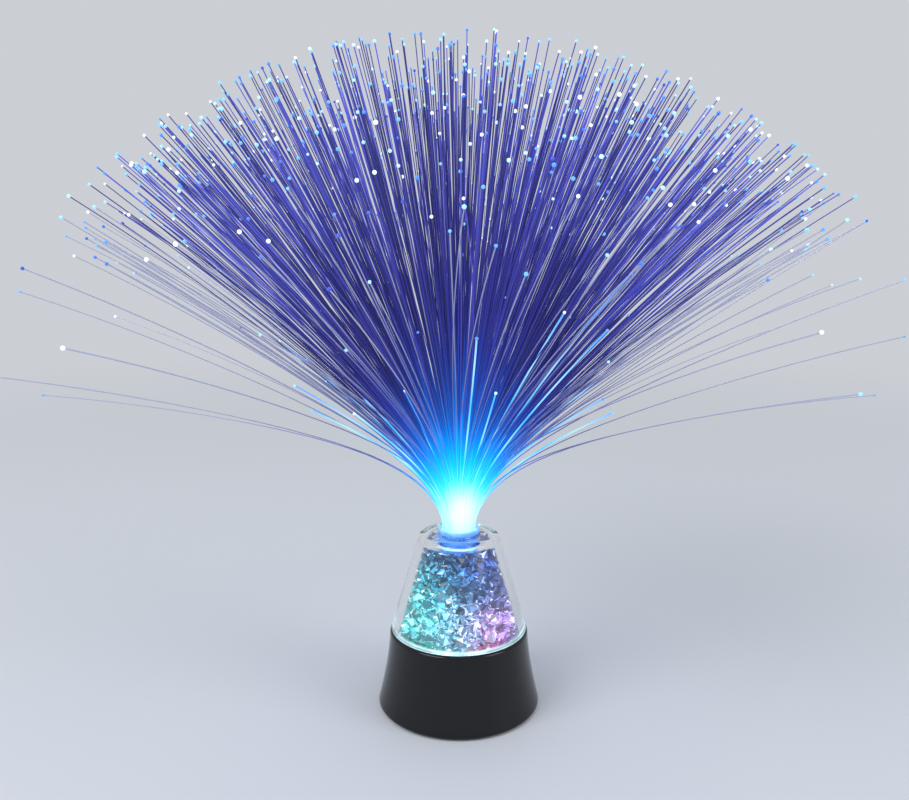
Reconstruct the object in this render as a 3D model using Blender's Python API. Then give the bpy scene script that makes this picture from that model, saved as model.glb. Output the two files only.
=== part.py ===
"""A battery-powered fibre optic lamp.

A spray of plastic fibres stands in a ferrule, in the neck of a clear, thick-walled cone filled with crushed
crystals. The cone sits on a flared base that holds three cells, a slide switch and a board of lamps.

Metres, +Z up. The origin is on the lamp's axis, on the table. The front of the lamp faces -Y.
"""

import math
import random

import bmesh
import bpy
from mathutils import Matrix, Vector

for old_object in list(bpy.data.objects):
    bpy.data.objects.remove(old_object)

# Overall and fitting sizes
total_height = 0.340
gap = 0.0003
overrun = 0.001
fine_steps = 40
middle_steps = 32
coarse_steps = 18
small_steps = 12
arc_steps = 3
crease_angle = math.radians(32)
viewport_clear_share = 0.6

# Base housing
base_height = 0.042
base_flare = 0.0070
base_flare_power = 1.6
base_flare_steps = 6
base_inner_steps = 4
base_wall = 0.0022
deck_thickness = 0.0022
shoulder_round = 0.0016
foot_round = 0.0014
rim_height = 0.0008

# Bottom cover and what fastens it
cover_height = 0.0012
cover_thickness = 0.0028
cover_edge = 0.0005
screw_door_margin = 0.00345
screw_wall_margin = 0.0087
screw_angles = [math.radians(degrees) for degrees in (-90, 30, 150)]
screw_head_radius = 0.0025
screw_head_depth = 0.0014
screw_shank_radius = 0.0013
screw_length = 0.0095
screw_slot_width = 0.0007
screw_slot_depth = 0.0006
screw_crown_share = 0.7
boss_radius = 0.0032

# Rubber feet
foot_door_margin = 0.00675
foot_angles = [math.radians(degrees) for degrees in (90, -30, -150)]
foot_radius = 0.0042
foot_recess = 0.0008
foot_edge = 0.0004

# Cells and their box, which is moulded with the bottom cover
cell_radius = 0.00525
cell_length = 0.0445
cell_nub_radius = 0.0019
cell_nub_length = 0.0008
cell_edge = 0.0005
cell_spacing = 0.0005
box_wall = 0.0016
box_round = 0.0042
ledge_share = 0.5
contact_thickness = 0.0004
contact_width = 0.0072
contact_height = 0.0070
contact_tab_width = 0.0028
contact_tab_rise = 0.0016
spring_length = 0.0045
spring_wire_radius = 0.00035
spring_wide_radius = 0.0032
spring_narrow_radius = 0.0021
spring_turns = 3
spring_points_each_turn = 8

# Battery door
door_thickness = 0.0015
door_front_reach = 0.0045
door_back_reach = 0.0015
door_tab_width = 0.0060
door_tab_offset = 0.0090
door_tab_thickness = 0.0009
door_tab_lip = 0.0016
latch_width = 0.0090
latch_height = 0.0014
latch_thickness = 0.0007
notch_radius = 0.0060
notch_reach = 0.0020
notch_depth = 0.0009
grip_rib_count = 4
grip_rib_width = 0.0006
grip_rib_pitch = 0.0014
grip_rib_length = 0.0100
grip_rib_rise = 0.0004

# Slide switch in the rear wall
switch_drop = 0.0050
switch_width = 0.0130
switch_tall = 0.0056
switch_depth = 0.0055
switch_pad_inset = 0.0014
switch_rail = 0.0016
switch_rail_reach = 0.0042
switch_travel = 0.0040
switch_pin_width = 0.0012
switch_pin_length = 0.0014
switch_pin_spacing = 0.0034
stem_width = 0.0034
stem_tall = 0.0026
stem_depth = 0.0016
knob_width = 0.0056
knob_tall = 0.0040
knob_thickness = 0.0014
knob_ridge_depth = 0.0004
knob_ridge_count = 3

# Lamp board
board_drop = 0.0128
board_edge_inset = 0.0067
board_thickness = 0.0016
post_edge_inset = 0.0021
post_window_margin = 0.0006
post_radius = 0.0020
post_angles = [math.radians(degrees) for degrees in (0, 120, 240)]
board_screw_head_radius = 0.0018
board_screw_head_depth = 0.0010
board_screw_shank_radius = 0.0008
board_screw_length = 0.0060
lamp_radius = 0.0025
lamp_flange_radius = 0.0029
lamp_flange_height = 0.0010
lamp_height = 0.0086
lamp_circle_radius = 0.0165
lamp_angles = {"red": math.radians(-42), "green": math.radians(195), "blue": math.radians(75)}
chip_side = 0.0052
chip_depth = 0.0038
chip_height = 0.0015
chip_place_radius = 0.0105

# Wires
wire_radius = 0.00055
wire_steps = 14

# Clear cone
cone_top = 0.095
cone_seat_inset = 0.0007
cone_top_radius = 0.0209
cone_wall = 0.0043
cone_shoulder_round = 0.0042
cone_shoulder_steps = 5
cone_top_thickness = 0.0042
neck_radius = 0.0102
neck_wall = 0.0014
neck_reach = 0.0016

# Crystal tray and light tube
tray_thickness = 0.0016
tray_spigot = 0.0012
tray_boss_height = 0.0015
tube_radius = 0.0082
tube_wall = 0.0011
tube_overlap = 0.0037

# Crystals
crystal_stand_out = 0.0030
crystal_shake = 0.0012
crystal_rows = 7
crystal_columns = 20
crystal_top_rings = 3
crystal_brick_share = 0.5
crystal_rise_shares = (0.35, 1.25)
crystal_top_clearance = 0.0062
crystal_seed = 7

# Ferrule and its potting
ferrule_flange_radius = 0.0103
ferrule_flange_height = 0.0022
ferrule_edge = 0.0005
ferrule_body_radius = 0.0099
ferrule_bore_radius = 0.0093
ferrule_step_radius = 0.0084
ferrule_step_height = 0.0015
ferrule_tail_radius = 0.0066
ferrule_tail_bore_radius = 0.0056
ferrule_funnel_height = 0.0040
ferrule_body_height = 0.0063
ferrule_length = 0.0170
potting_recess = 0.0012

# Fibres
fibre_count = 300
bundle_radius = 0.0082
fibre_thickness = 0.00058
fibre_root = 0.0010
bend_length = 0.030
spread_angle = math.radians(50)
edge_spread_angle = math.radians(29)
edge_spread_power = 26
droop_angle = math.radians(9)
length_scatter_share = 0.13
short_fibre_every = 41
short_length_share = 0.55
straight_angle = math.radians(38)
curved_angle = math.radians(62)
straight_shares = [0.13]
bent_shares = [0.13, 0.34]
curved_shares = [0.13, 0.34, 0.64]
bend_end_share = 0.9
path_steps = 100
fibre_seed = 11
divergence = math.pi * (3 - math.sqrt(5)) / 2

# Places that follow from the sizes above
deck_height = base_height - deck_thickness
door_height = cover_height
door_top = door_height + door_thickness
cell_bottom = door_top + gap
cell_centre_height = cell_bottom + cell_radius
cell_pitch = 2 * cell_radius + cell_spacing
cell_row = cell_length + spring_length + 2 * contact_thickness + 5 * gap
box_half_width = cell_pitch + cell_radius + gap
box_half_length = cell_row / 2
box_roof = cell_centre_height + cell_radius + gap
box_outer_half_width = box_half_width + box_wall
box_outer_half_length = box_half_length + box_wall
box_top = box_roof + box_wall
cover_top = cover_height + cover_thickness
opening_half_width = box_half_width + box_wall * ledge_share
opening_front = -(box_outer_half_length + door_front_reach)
opening_back = box_outer_half_length + door_back_reach
hinge_place = Vector((0, opening_front, door_height))
screw_circle_radius = screw_door_margin - opening_front
foot_circle_radius = opening_back + foot_door_margin
base_foot_radius = screw_circle_radius + screw_wall_margin
base_top_radius = base_foot_radius - base_flare
contact_inner = box_half_length - gap - contact_thickness
board_height = deck_height - board_drop
board_top = board_height + board_thickness
board_radius = base_top_radius - board_edge_inset
post_circle_radius = board_radius - post_edge_inset
window_radius = post_circle_radius - post_radius - post_window_margin
switch_height = board_height - switch_drop
cone_foot_radius = base_top_radius - cone_seat_inset
cone_foot = base_height + gap
tray_top = cone_foot + tray_thickness
tube_foot = tray_top + gap
ferrule_foot = cone_top + gap + ferrule_flange_height - ferrule_length
ferrule_mouth = cone_top + gap + ferrule_flange_height
tube_top = ferrule_foot + tube_overlap
potting_top = ferrule_mouth - potting_recess
fibre_length = total_height - potting_top


def base_radius_at(height):
    """The outer radius of the base, which flares towards the table."""
    fall_share = max(0, 1 - height / base_height)
    return base_top_radius + (base_foot_radius - base_top_radius) * fall_share**base_flare_power


def cone_radius_at(height):
    """The outer radius of the clear cone's straight side."""
    rise_share = (height - cone_foot) / (cone_top - cone_foot)
    return cone_foot_radius + (cone_top_radius - cone_foot_radius) * rise_share


def finish(name, colour, roughness, metallic=0.0, clear=0.0, glow=0.0):
    """A Principled material, clear where the real piece is, and glowing where it is a lamp."""
    material = bpy.data.materials.new(name)
    material.use_nodes = True
    shader = material.node_tree.nodes["Principled BSDF"]
    shader.inputs["Base Color"].default_value = (*colour, 1)
    shader.inputs["Roughness"].default_value = roughness
    shader.inputs["Metallic"].default_value = metallic
    shader.inputs["Transmission Weight"].default_value = clear
    shader.inputs["Emission Color"].default_value = (*colour, 1)
    shader.inputs["Emission Strength"].default_value = glow
    material.diffuse_color = (*colour, 1 - clear * viewport_clear_share)
    return material


gloss_black = finish("gloss_black", (0.010, 0.010, 0.012), 0.16)
matt_black = finish("matt_black", (0.022, 0.022, 0.024), 0.55)
rubber_grey = finish("rubber_grey", (0.05, 0.05, 0.05), 0.85)
clear_acrylic = finish("clear_acrylic", (0.93, 0.97, 1.0), 0.03, clear=1.0)
crystal_clear = finish("crystal_clear", (0.80, 0.95, 1.0), 0.05, clear=0.9)
fibre_clear = finish("fibre_clear", (0.25, 0.45, 1.0), 0.20, clear=0.4, glow=0.6)
ferrule_blue = finish("ferrule_blue", (0.55, 0.78, 1.0), 0.25, clear=0.3)
board_green = finish("board_green", (0.02, 0.16, 0.07), 0.45)
chip_black = finish("chip_black", (0.015, 0.015, 0.015), 0.40)
steel = finish("steel", (0.62, 0.62, 0.60), 0.30, metallic=1.0)
spring_steel = finish("spring_steel", (0.70, 0.70, 0.68), 0.25, metallic=1.0)
cell_jacket = finish("cell_jacket", (0.16, 0.17, 0.19), 0.32, metallic=0.6)
switch_grey = finish("switch_grey", (0.30, 0.30, 0.31), 0.50)
red_wire = finish("red_wire", (0.55, 0.03, 0.02), 0.45)
black_wire = finish("black_wire", (0.02, 0.02, 0.02), 0.45)
lamp_finishes = {
    "centre": finish("lamp_white", (0.92, 0.96, 1.0), 0.10, clear=0.5, glow=1.0),
    "red": finish("lamp_red", (1.0, 0.10, 0.22), 0.10, clear=0.4, glow=1.0),
    "green": finish("lamp_green", (0.10, 1.0, 0.45), 0.10, clear=0.4, glow=1.0),
    "blue": finish("lamp_blue", (0.12, 0.28, 1.0), 0.10, clear=0.4, glow=1.0),
}


def link(name, data):
    """A new scene object that holds this mesh or curve."""
    obj = bpy.data.objects.new(name, data)
    bpy.context.scene.collection.objects.link(obj)
    return obj


def mesh_of(name, bm):
    """The finished mesh of a bmesh, with its faces turned outwards."""
    bmesh.ops.recalc_face_normals(bm, faces=bm.faces)
    mesh = bpy.data.meshes.new(name)
    bm.to_mesh(mesh)
    bm.free()
    return mesh


def add_piece(name, bm, material, smooth=True):
    """A named sub-part made from a bmesh."""
    mesh = mesh_of(name, bm)
    if smooth:
        mesh.shade_smooth()
        mesh.set_sharp_from_angle(angle=crease_angle)
    mesh.materials.append(material)
    return link(name, mesh)


def add_tool(name, bm):
    """A hidden shape that a Boolean adds or takes away."""
    tool = link(name, mesh_of(name, bm))
    tool.hide_render = True
    tool.display_type = "WIRE"
    return tool


def combine(piece, operation, bm, within=None):
    """Adds a shape, or only what of it lies within another one, to a piece (UNION), or takes it away."""
    tool = add_tool(f"{piece.name}_{operation.lower()}_{len(piece.modifiers) + 1}", bm)
    if within:
        combine(tool, "INTERSECT", within)
    modifier = piece.modifiers.new(tool.name, "BOOLEAN")
    modifier.operation = operation
    modifier.solver = "EXACT"
    modifier.object = tool


def ride_on(axis_empty, pieces):
    """Parents pieces to the empty on their joint's axis, and leaves them where they are."""
    for piece in pieces:
        piece.parent = axis_empty
        piece.matrix_parent_inverse = Matrix.Translation(-axis_empty.location)


def add_axis(name, place):
    """An empty that marks a joint's axis."""
    empty = link(name, None)
    empty.location = place
    empty.empty_display_size = base_height / 4
    return empty


def arc(centre_radius, centre_height, radius, start, end, steps=arc_steps):
    """Points along a fillet, as (radius, height) pairs, with its angles in degrees."""
    angles = [math.radians(start + (end - start) * step / steps) for step in range(steps + 1)]
    return [(centre_radius + radius * math.cos(a), centre_height + radius * math.sin(a)) for a in angles]


def turned(profile, steps=fine_steps, bm=None, place=(0, 0), turn=None):
    """A solid of revolution of a closed (radius, height) outline. Points on the axis stay single."""
    bm = bm or bmesh.new()
    rings = []
    made = []
    for radius, height in profile:
        if radius == 0:
            ring = [bm.verts.new((0, 0, height))] * steps
            made.append(ring[0])
        else:
            angles = [2 * math.pi * step / steps for step in range(steps)]
            ring = [bm.verts.new((radius * math.cos(a), radius * math.sin(a), height)) for a in angles]
            made.extend(ring)
        rings.append(ring)
    for index, ring in enumerate(rings):
        following = rings[(index + 1) % len(rings)]
        for step in range(steps):
            after = (step + 1) % steps
            corners = [ring[step], ring[after], following[after], following[step]]
            corners = list(dict.fromkeys(corners))
            if len(corners) > 2:
                bm.faces.new(corners)
    if turn:
        bmesh.ops.transform(bm, matrix=turn, verts=made)
    bmesh.ops.translate(bm, vec=(*place, 0), verts=made)
    return bm


def cylinder(radius, low, high, steps=coarse_steps, bm=None, place=(0, 0)):
    """An upright round bar."""
    outline = [(0, low), (radius, low), (radius, high), (0, high)]
    return turned(outline, steps, bm, place)


def block(low, high, bm=None):
    """A box between two corners."""
    bm = bm or bmesh.new()
    low, high = Vector(low), Vector(high)
    sides = Matrix.Diagonal((*(high - low), 1))
    bmesh.ops.create_cube(bm, size=1, matrix=Matrix.Translation((low + high) / 2) @ sides)
    return bm


def prism(outline, start, length, bm=None):
    """An outline of points, swept along the vector length from its place at the vector start."""
    bm = bm or bmesh.new()
    lower = [bm.verts.new(Vector(start) + Vector(point)) for point in outline]
    upper = [bm.verts.new(vert.co + Vector(length)) for vert in lower]
    bm.faces.new(lower)
    bm.faces.new(upper)
    for index, vert in enumerate(lower):
        after = (index + 1) % len(lower)
        bm.faces.new((vert, lower[after], upper[after], upper[index]))
    return bm


def spaced(start, end, steps):
    """Evenly spaced values from start to end."""
    return [start + (end - start) * step / steps for step in range(steps + 1)]


def around(circle_radius, angles):
    """(x, y) places on a circle."""
    return [(circle_radius * math.cos(a), circle_radius * math.sin(a)) for a in angles]


def tube_along(name, points, radius, material, resolution=1):
    """A round wire through points, with filled ends."""
    curve = bpy.data.curves.new(name, "CURVE")
    curve.dimensions = "3D"
    curve.bevel_depth = radius
    curve.bevel_resolution = resolution
    curve.use_fill_caps = True
    spline = curve.splines.new("POLY")
    spline.points.add(len(points) - 1)
    for spline_point, point in zip(spline.points, points):
        spline_point.co = (*point, 1)
    curve.materials.append(material)
    return link(name, curve)


def smooth_route(knots, steps):
    """Points along a smooth curve through a few knots."""
    knots = [Vector(knot) for knot in knots]
    padded = [2 * knots[0] - knots[1], *knots, 2 * knots[-1] - knots[-2]]
    route = []
    for step in range(steps + 1):
        span = step * (len(knots) - 1) / steps
        index = min(int(span), len(knots) - 2)
        along = span - index
        before, start, end, after = padded[index : index + 4]
        route.append(
            (2 * start + (end - before) * along
             + (2 * before - 5 * start + 4 * end - after) * along**2
             + (3 * start - before - 3 * end + after) * along**3) / 2
        )
    return route


def add_base_housing():
    """The flared shell, with its deck, screw bosses, board posts and switch bracket."""
    shoulder_radius = base_top_radius - shoulder_round
    flare_foot = rim_height + foot_round
    flare_top = base_height - shoulder_round
    flare_heights = spaced(flare_foot, flare_top, base_flare_steps)
    inner_heights = spaced(deck_height, rim_height, base_inner_steps)
    foot_centre = base_radius_at(flare_foot) - foot_round
    profile = arc(foot_centre, flare_foot, foot_round, -90, 0)[:-1]
    profile += [(base_radius_at(height), height) for height in flare_heights[:-1]]
    profile += arc(shoulder_radius, flare_top, shoulder_round, 0, 90)
    profile += [(window_radius, base_height), (window_radius, deck_height)]
    profile += [(base_radius_at(height) - base_wall, height) for height in inner_heights]
    housing = add_piece("base_housing", turned(profile), gloss_black)

    boss_foot = cover_top + gap
    bosses = bmesh.new()
    for place in around(screw_circle_radius, screw_angles):
        cylinder(boss_radius, boss_foot, deck_height + overrun, bm=bosses, place=place)
    post_foot = board_top + gap
    for place in around(post_circle_radius, post_angles):
        cylinder(post_radius, post_foot, deck_height + overrun, bm=bosses, place=place)
    combine(housing, "UNION", bosses, housing_core(boss_foot))
    combine(housing, "UNION", switch_bracket(), housing_core(boss_foot))

    holes = bmesh.new()
    hole_foot = boss_foot - overrun
    hole_top = cover_height + screw_length + overrun
    for place in around(screw_circle_radius, screw_angles):
        cylinder(screw_shank_radius + gap, hole_foot, hole_top, small_steps, holes, place)
    hole_foot = post_foot - overrun
    hole_top = board_height - gap + board_screw_length + overrun
    for place in around(post_circle_radius, post_angles):
        cylinder(board_screw_shank_radius + gap, hole_foot, hole_top, small_steps, holes, place)
    combine(housing, "DIFFERENCE", holes)
    slot_half_width = (stem_width + switch_travel) / 2 + gap
    slot_half_tall = stem_tall / 2 + gap
    slot = block(
        (-slot_half_width, switch_face() - overrun, switch_height - slot_half_tall),
        (slot_half_width, base_foot_radius + overrun, switch_height + slot_half_tall),
    )
    combine(housing, "DIFFERENCE", slot)


def housing_core(foot):
    """The room inside the housing, out to the middle of its wall, which keeps bosses from showing outside."""
    heights = spaced(foot - overrun, deck_height + overrun, base_flare_steps)
    outer = [(base_radius_at(height) - base_wall / 2, height) for height in heights]
    return turned([(0, heights[0]), *outer, (0, heights[-1])])


def switch_face():
    """How far back the flat pad lies that the switch stands against."""
    return base_radius_at(switch_height) - base_wall - switch_pad_inset


def switch_bracket():
    """The flat pad and the two rails that hold the switch, as one channel along Z."""
    inner = switch_width / 2 + gap
    outer = inner + switch_rail
    face = switch_face()
    half_tall = switch_tall / 2 + switch_rail
    outline = [
        (-outer, face - switch_rail_reach, 0),
        (-inner, face - switch_rail_reach, 0),
        (-inner, face, 0),
        (inner, face, 0),
        (inner, face - switch_rail_reach, 0),
        (outer, face - switch_rail_reach, 0),
        (outer, base_foot_radius, 0),
        (-outer, base_foot_radius, 0),
    ]
    return prism(outline, (0, 0, switch_height - half_tall), (0, 0, 2 * half_tall))


def box_outline(half_width, low, high, corner):
    """The battery box's section across its length: square below, with round upper corners."""
    points = [(-half_width, low), (half_width, low)]
    points += arc(half_width - corner, high - corner, corner, 0, 90)
    points += arc(corner - half_width, high - corner, corner, 90, 180)
    return [(x, 0, z) for x, z in points]


def add_bottom_cover():
    """The round cover, with the battery box moulded on it and the door's opening through it."""
    radius = base_radius_at(cover_top) - base_wall - gap
    outline = [
        (0, cover_height),
        (radius - cover_edge, cover_height),
        (radius, cover_height + cover_edge),
        (radius, cover_top),
        (0, cover_top),
    ]
    cover = add_piece("bottom_cover", turned(outline), matt_black)
    shell_foot = cover_top - cover_thickness / 2
    outer = prism(
        box_outline(box_outer_half_width, shell_foot, box_top, box_round + box_wall),
        (0, -box_outer_half_length, 0),
        (0, 2 * box_outer_half_length, 0),
    )
    combine(cover, "UNION", outer)
    inner = prism(
        box_outline(box_half_width, door_height, box_roof, box_round),
        (0, -box_half_length, 0),
        (0, 2 * box_half_length, 0),
    )
    combine(cover, "DIFFERENCE", inner)
    opening = block(
        (-opening_half_width, opening_front, cover_height - overrun),
        (opening_half_width, opening_back, door_top + gap),
    )
    combine(cover, "DIFFERENCE", opening)
    ends = block(
        (-opening_half_width, opening_front, door_height),
        (opening_half_width, -box_outer_half_length, cover_top + overrun),
    )
    block(
        (-opening_half_width, box_outer_half_length, door_height),
        (opening_half_width, opening_back, cover_top + overrun),
        ends,
    )
    combine(cover, "DIFFERENCE", ends)

    details = bmesh.new()
    for place in around(screw_circle_radius, screw_angles):
        head_top = cover_height + screw_head_depth + gap
        shank = screw_shank_radius + gap
        head = screw_head_radius + gap
        low = cover_height - overrun
        high = cover_top + overrun
        steps = [(0, low), (head, low), (head, head_top), (shank, head_top), (shank, high), (0, high)]
        turned(steps, coarse_steps, details, place)
    for place in around(foot_circle_radius, foot_angles):
        recess_top = cover_height + foot_recess
        cylinder(foot_radius + gap, cover_height - overrun, recess_top, bm=details, place=place)
    for side in (-1, 1):
        slot_centre = side * (contact_inner + contact_thickness / 2)
        slot_x = -side * cell_pitch
        half_width = contact_tab_width / 2 + gap
        half_depth = contact_thickness / 2 + gap
        block(
            (slot_x - half_width, slot_centre - half_depth, box_roof - overrun),
            (slot_x + half_width, slot_centre + half_depth, box_top + overrun),
            details,
        )
    combine(cover, "DIFFERENCE", details)
    notch_place = (0, opening_back + notch_reach - notch_radius)
    notch = cylinder(notch_radius, cover_height - overrun, cover_height + notch_depth, place=notch_place)
    combine(cover, "DIFFERENCE", notch)


def add_battery_door():
    """The door, which tips out about the lower edge of its tabs."""
    half_width = opening_half_width - gap
    front = opening_front + gap
    back = opening_back - gap
    plate = block((-half_width, front, door_height), (half_width, back, door_top))
    door = add_piece("battery_door", plate, matt_black, smooth=False)
    root = door_top - door_thickness / 2
    lip_bottom = cover_top + gap
    lip_top = lip_bottom + door_tab_thickness
    tab_outline = [
        (0, front, root),
        (0, front + door_tab_thickness, root),
        (0, front + door_tab_thickness, lip_top),
        (0, front - door_tab_lip, lip_top),
        (0, front - door_tab_lip, lip_bottom),
        (0, front, lip_bottom),
    ]
    tabs = bmesh.new()
    for side in (-1, 1):
        prism(tab_outline, (side * door_tab_offset - door_tab_width / 2, 0, 0), (door_tab_width, 0, 0), tabs)
    block(
        (-latch_width / 2, back - latch_thickness, root),
        (latch_width / 2, back, door_top + latch_height),
        tabs,
    )
    combine(door, "UNION", tabs)
    ribs = bmesh.new()
    for index in range(grip_rib_count):
        rib_end = back - notch_radius / 2 - index * grip_rib_pitch
        block(
            (-grip_rib_length / 2, rib_end - grip_rib_width, door_height - overrun),
            (grip_rib_length / 2, rib_end, door_height + grip_rib_rise),
            ribs,
        )
    combine(door, "DIFFERENCE", ribs)
    return door


def add_feet():
    """Rubber feet in the cover's recesses. The lamp stands on them."""
    top = cover_height + foot_recess - gap
    outline = [(0, 0), (foot_radius - foot_edge, 0), (foot_radius, foot_edge), (foot_radius, top), (0, top)]
    for number, place in enumerate(around(foot_circle_radius, foot_angles), 1):
        add_piece(f"rubber_foot_{number}", turned(outline, coarse_steps, place=place), rubber_grey)


def screw_outline(head_radius, head_depth, shank_radius, length):
    """A pan-head screw from its head at the foot up to its point."""
    taper = shank_radius / 2
    return [
        (0, 0),
        (head_radius * screw_crown_share, 0),
        (head_radius, head_depth / 2),
        (head_radius, head_depth),
        (shank_radius, head_depth),
        (shank_radius, length - 2 * taper),
        (taper, length),
        (0, length),
    ]


def add_screws(name, circle_radius, angles, seat, sizes):
    """A ring of slotted screws, driven upwards from a seat height."""
    head_radius, head_depth, shank_radius, length = sizes
    for number, place in enumerate(around(circle_radius, angles), 1):
        outline = screw_outline(head_radius, head_depth, shank_radius, length)
        outline = [(radius, seat + height) for radius, height in outline]
        screw = add_piece(f"{name}_{number}", turned(outline, small_steps, place=place), steel)
        half_slot = Vector((head_radius + overrun, screw_slot_width / 2, 0))
        centre = Vector((*place, seat))
        slot = block(
            centre - half_slot - Vector((0, 0, overrun)),
            centre + half_slot + Vector((0, 0, screw_slot_depth)),
        )
        combine(screw, "DIFFERENCE", slot)


def cell_places():
    """Each cell's x, and the side that its raised end points to. They alternate, to run in series."""
    return [(-cell_pitch, 1), (0, -1), (cell_pitch, 1)]


def add_cells():
    """Three cells side by side, each with its raised end and its rolled edges."""
    nub_end = cell_length
    shoulder = cell_length - cell_nub_length
    outline = [
        (0, 0),
        (cell_radius - cell_edge, 0),
        (cell_radius, cell_edge),
        (cell_radius, shoulder - cell_edge),
        (cell_radius - cell_edge, shoulder),
        (cell_nub_radius, shoulder),
        (cell_nub_radius, nub_end),
        (0, nub_end),
    ]
    for number, (x, side) in enumerate(cell_places(), 1):
        turn = Matrix.Rotation(-side * math.pi / 2, 4, "X")
        bm = turned(outline, coarse_steps, turn=turn)
        start = -side * (cell_length - contact_inner + gap)
        bmesh.ops.translate(bm, vec=(x, start, cell_centre_height), verts=bm.verts)
        add_piece(f"battery_cell_{number}", bm, cell_jacket)


def add_contact(name, side, left, right, tab_x=None):
    """A contact plate at one end of the box, with a solder tab through the roof where tab_x is given."""
    low = cell_centre_height - contact_height / 2
    high = cell_centre_height + contact_height / 2
    outline = [(left, low), (right, low), (right, high)]
    if tab_x is not None:
        tab_top = box_top + contact_tab_rise
        outline += [
            (tab_x + contact_tab_width / 2, high),
            (tab_x + contact_tab_width / 2, tab_top),
            (tab_x - contact_tab_width / 2, tab_top),
            (tab_x - contact_tab_width / 2, high),
        ]
    outline += [(left, high)]
    near = contact_inner if side > 0 else -contact_inner - contact_thickness
    bm = prism([(x, 0, z) for x, z in outline], (0, near, 0), (0, contact_thickness, 0))
    add_piece(name, bm, spring_steel, smooth=False)


def add_contacts():
    """The four plates that join the cells in series."""
    half = contact_width / 2
    add_contact("contact_positive", 1, -cell_pitch - half, -cell_pitch + half, -cell_pitch)
    add_contact("contact_bridge_front", -1, -cell_pitch - half, half)
    add_contact("contact_bridge_rear", 1, -half, cell_pitch + half)
    add_contact("contact_negative", -1, cell_pitch - half, cell_pitch + half, cell_pitch)


def add_springs():
    """A conical spring at each cell's flat end, wide at the plate and narrow at the cell."""
    points_in_all = spring_turns * spring_points_each_turn
    wire_centre_length = spring_length - 2 * spring_wire_radius
    least_gap = wire_centre_length / spring_turns - 2 * spring_wire_radius
    for number, (x, side) in enumerate(cell_places(), 1):
        plate = -side * contact_inner
        points = []
        for index in range(points_in_all + 1):
            along = index / points_in_all
            angle = 2 * math.pi * spring_turns * along
            radius = spring_wide_radius + (spring_narrow_radius - spring_wide_radius) * along
            reach = gap + spring_wire_radius + wire_centre_length * along
            height = cell_centre_height + radius * math.sin(angle)
            points.append((x + radius * math.cos(angle), plate + side * reach, height))
        tube_along(f"battery_spring_{number}", points, spring_wire_radius, spring_steel)
    print(f"battery springs: least gap between turns {least_gap * 1000:.2f} mm")


def add_switch():
    """The slide switch: a body with its pins, and the knob that stands through the wall."""
    front = switch_face() - gap
    back = front - switch_depth
    half_width = switch_width / 2
    half_tall = switch_tall / 2
    body = add_piece(
        "switch_body",
        block((-half_width, back, switch_height - half_tall), (half_width, front, switch_height + half_tall)),
        switch_grey,
        smooth=False,
    )
    pins = bmesh.new()
    for index in (-1, 0, 1):
        centre = index * switch_pin_spacing
        block(
            (centre - switch_pin_width / 2, back - switch_pin_length, switch_height - contact_thickness),
            (centre + switch_pin_width / 2, back + switch_depth / 4, switch_height + contact_thickness),
            pins,
        )
    combine(body, "UNION", pins)
    pocket_half_width = (stem_width + switch_travel) / 2 + gap
    pocket_half_tall = stem_tall / 2 + gap
    pocket = block(
        (-pocket_half_width, front - stem_depth - gap, switch_height - pocket_half_tall),
        (pocket_half_width, front + overrun, switch_height + pocket_half_tall),
    )
    combine(body, "DIFFERENCE", pocket)

    on_place = switch_travel / 2
    knob_foot = base_radius_at(switch_height - knob_tall / 2) + gap
    knob_face = knob_foot + knob_thickness
    knob = add_piece(
        "switch_knob",
        block(
            (on_place - knob_width / 2, knob_foot, switch_height - knob_tall / 2),
            (on_place + knob_width / 2, knob_face, switch_height + knob_tall / 2),
        ),
        switch_grey,
        smooth=False,
    )
    stem = block(
        (on_place - stem_width / 2, front - stem_depth, switch_height - stem_tall / 2),
        (on_place + stem_width / 2, knob_foot + knob_thickness / 2, switch_height + stem_tall / 2),
    )
    combine(knob, "UNION", stem)
    grooves = bmesh.new()
    groove_pitch = knob_width / (2 * knob_ridge_count + 1)
    for index in range(knob_ridge_count):
        low = on_place - knob_width / 2 + (2 * index + 1) * groove_pitch
        block(
            (low, knob_face - knob_ridge_depth, switch_height - knob_tall),
            (low + groove_pitch, knob_face + overrun, switch_height + knob_tall),
            grooves,
        )
    combine(knob, "DIFFERENCE", grooves)
    axis = add_axis("switch_slide_axis", (on_place, knob_foot, switch_height))
    ride_on(axis, [knob])


def add_board():
    """The lamp board under the deck, with its chip and its screws."""
    board = add_piece("led_board", cylinder(board_radius, board_height, board_top, fine_steps), board_green)
    holes = bmesh.new()
    hole_radius = board_screw_shank_radius + gap
    for place in around(post_circle_radius, post_angles):
        cylinder(hole_radius, board_height - overrun, board_top + overrun, small_steps, holes, place)
    combine(board, "DIFFERENCE", holes)
    chip_top = board_height - gap
    chip = block(
        (chip_place_radius, -chip_depth / 2, chip_top - chip_height),
        (chip_place_radius + chip_side, chip_depth / 2, chip_top),
    )
    add_piece("controller_chip", chip, chip_black, smooth=False)
    sizes = (board_screw_head_radius, board_screw_head_depth, board_screw_shank_radius, board_screw_length)
    seat = board_height - gap - board_screw_head_depth
    add_screws("board_screw", post_circle_radius, post_angles, seat, sizes)


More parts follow.
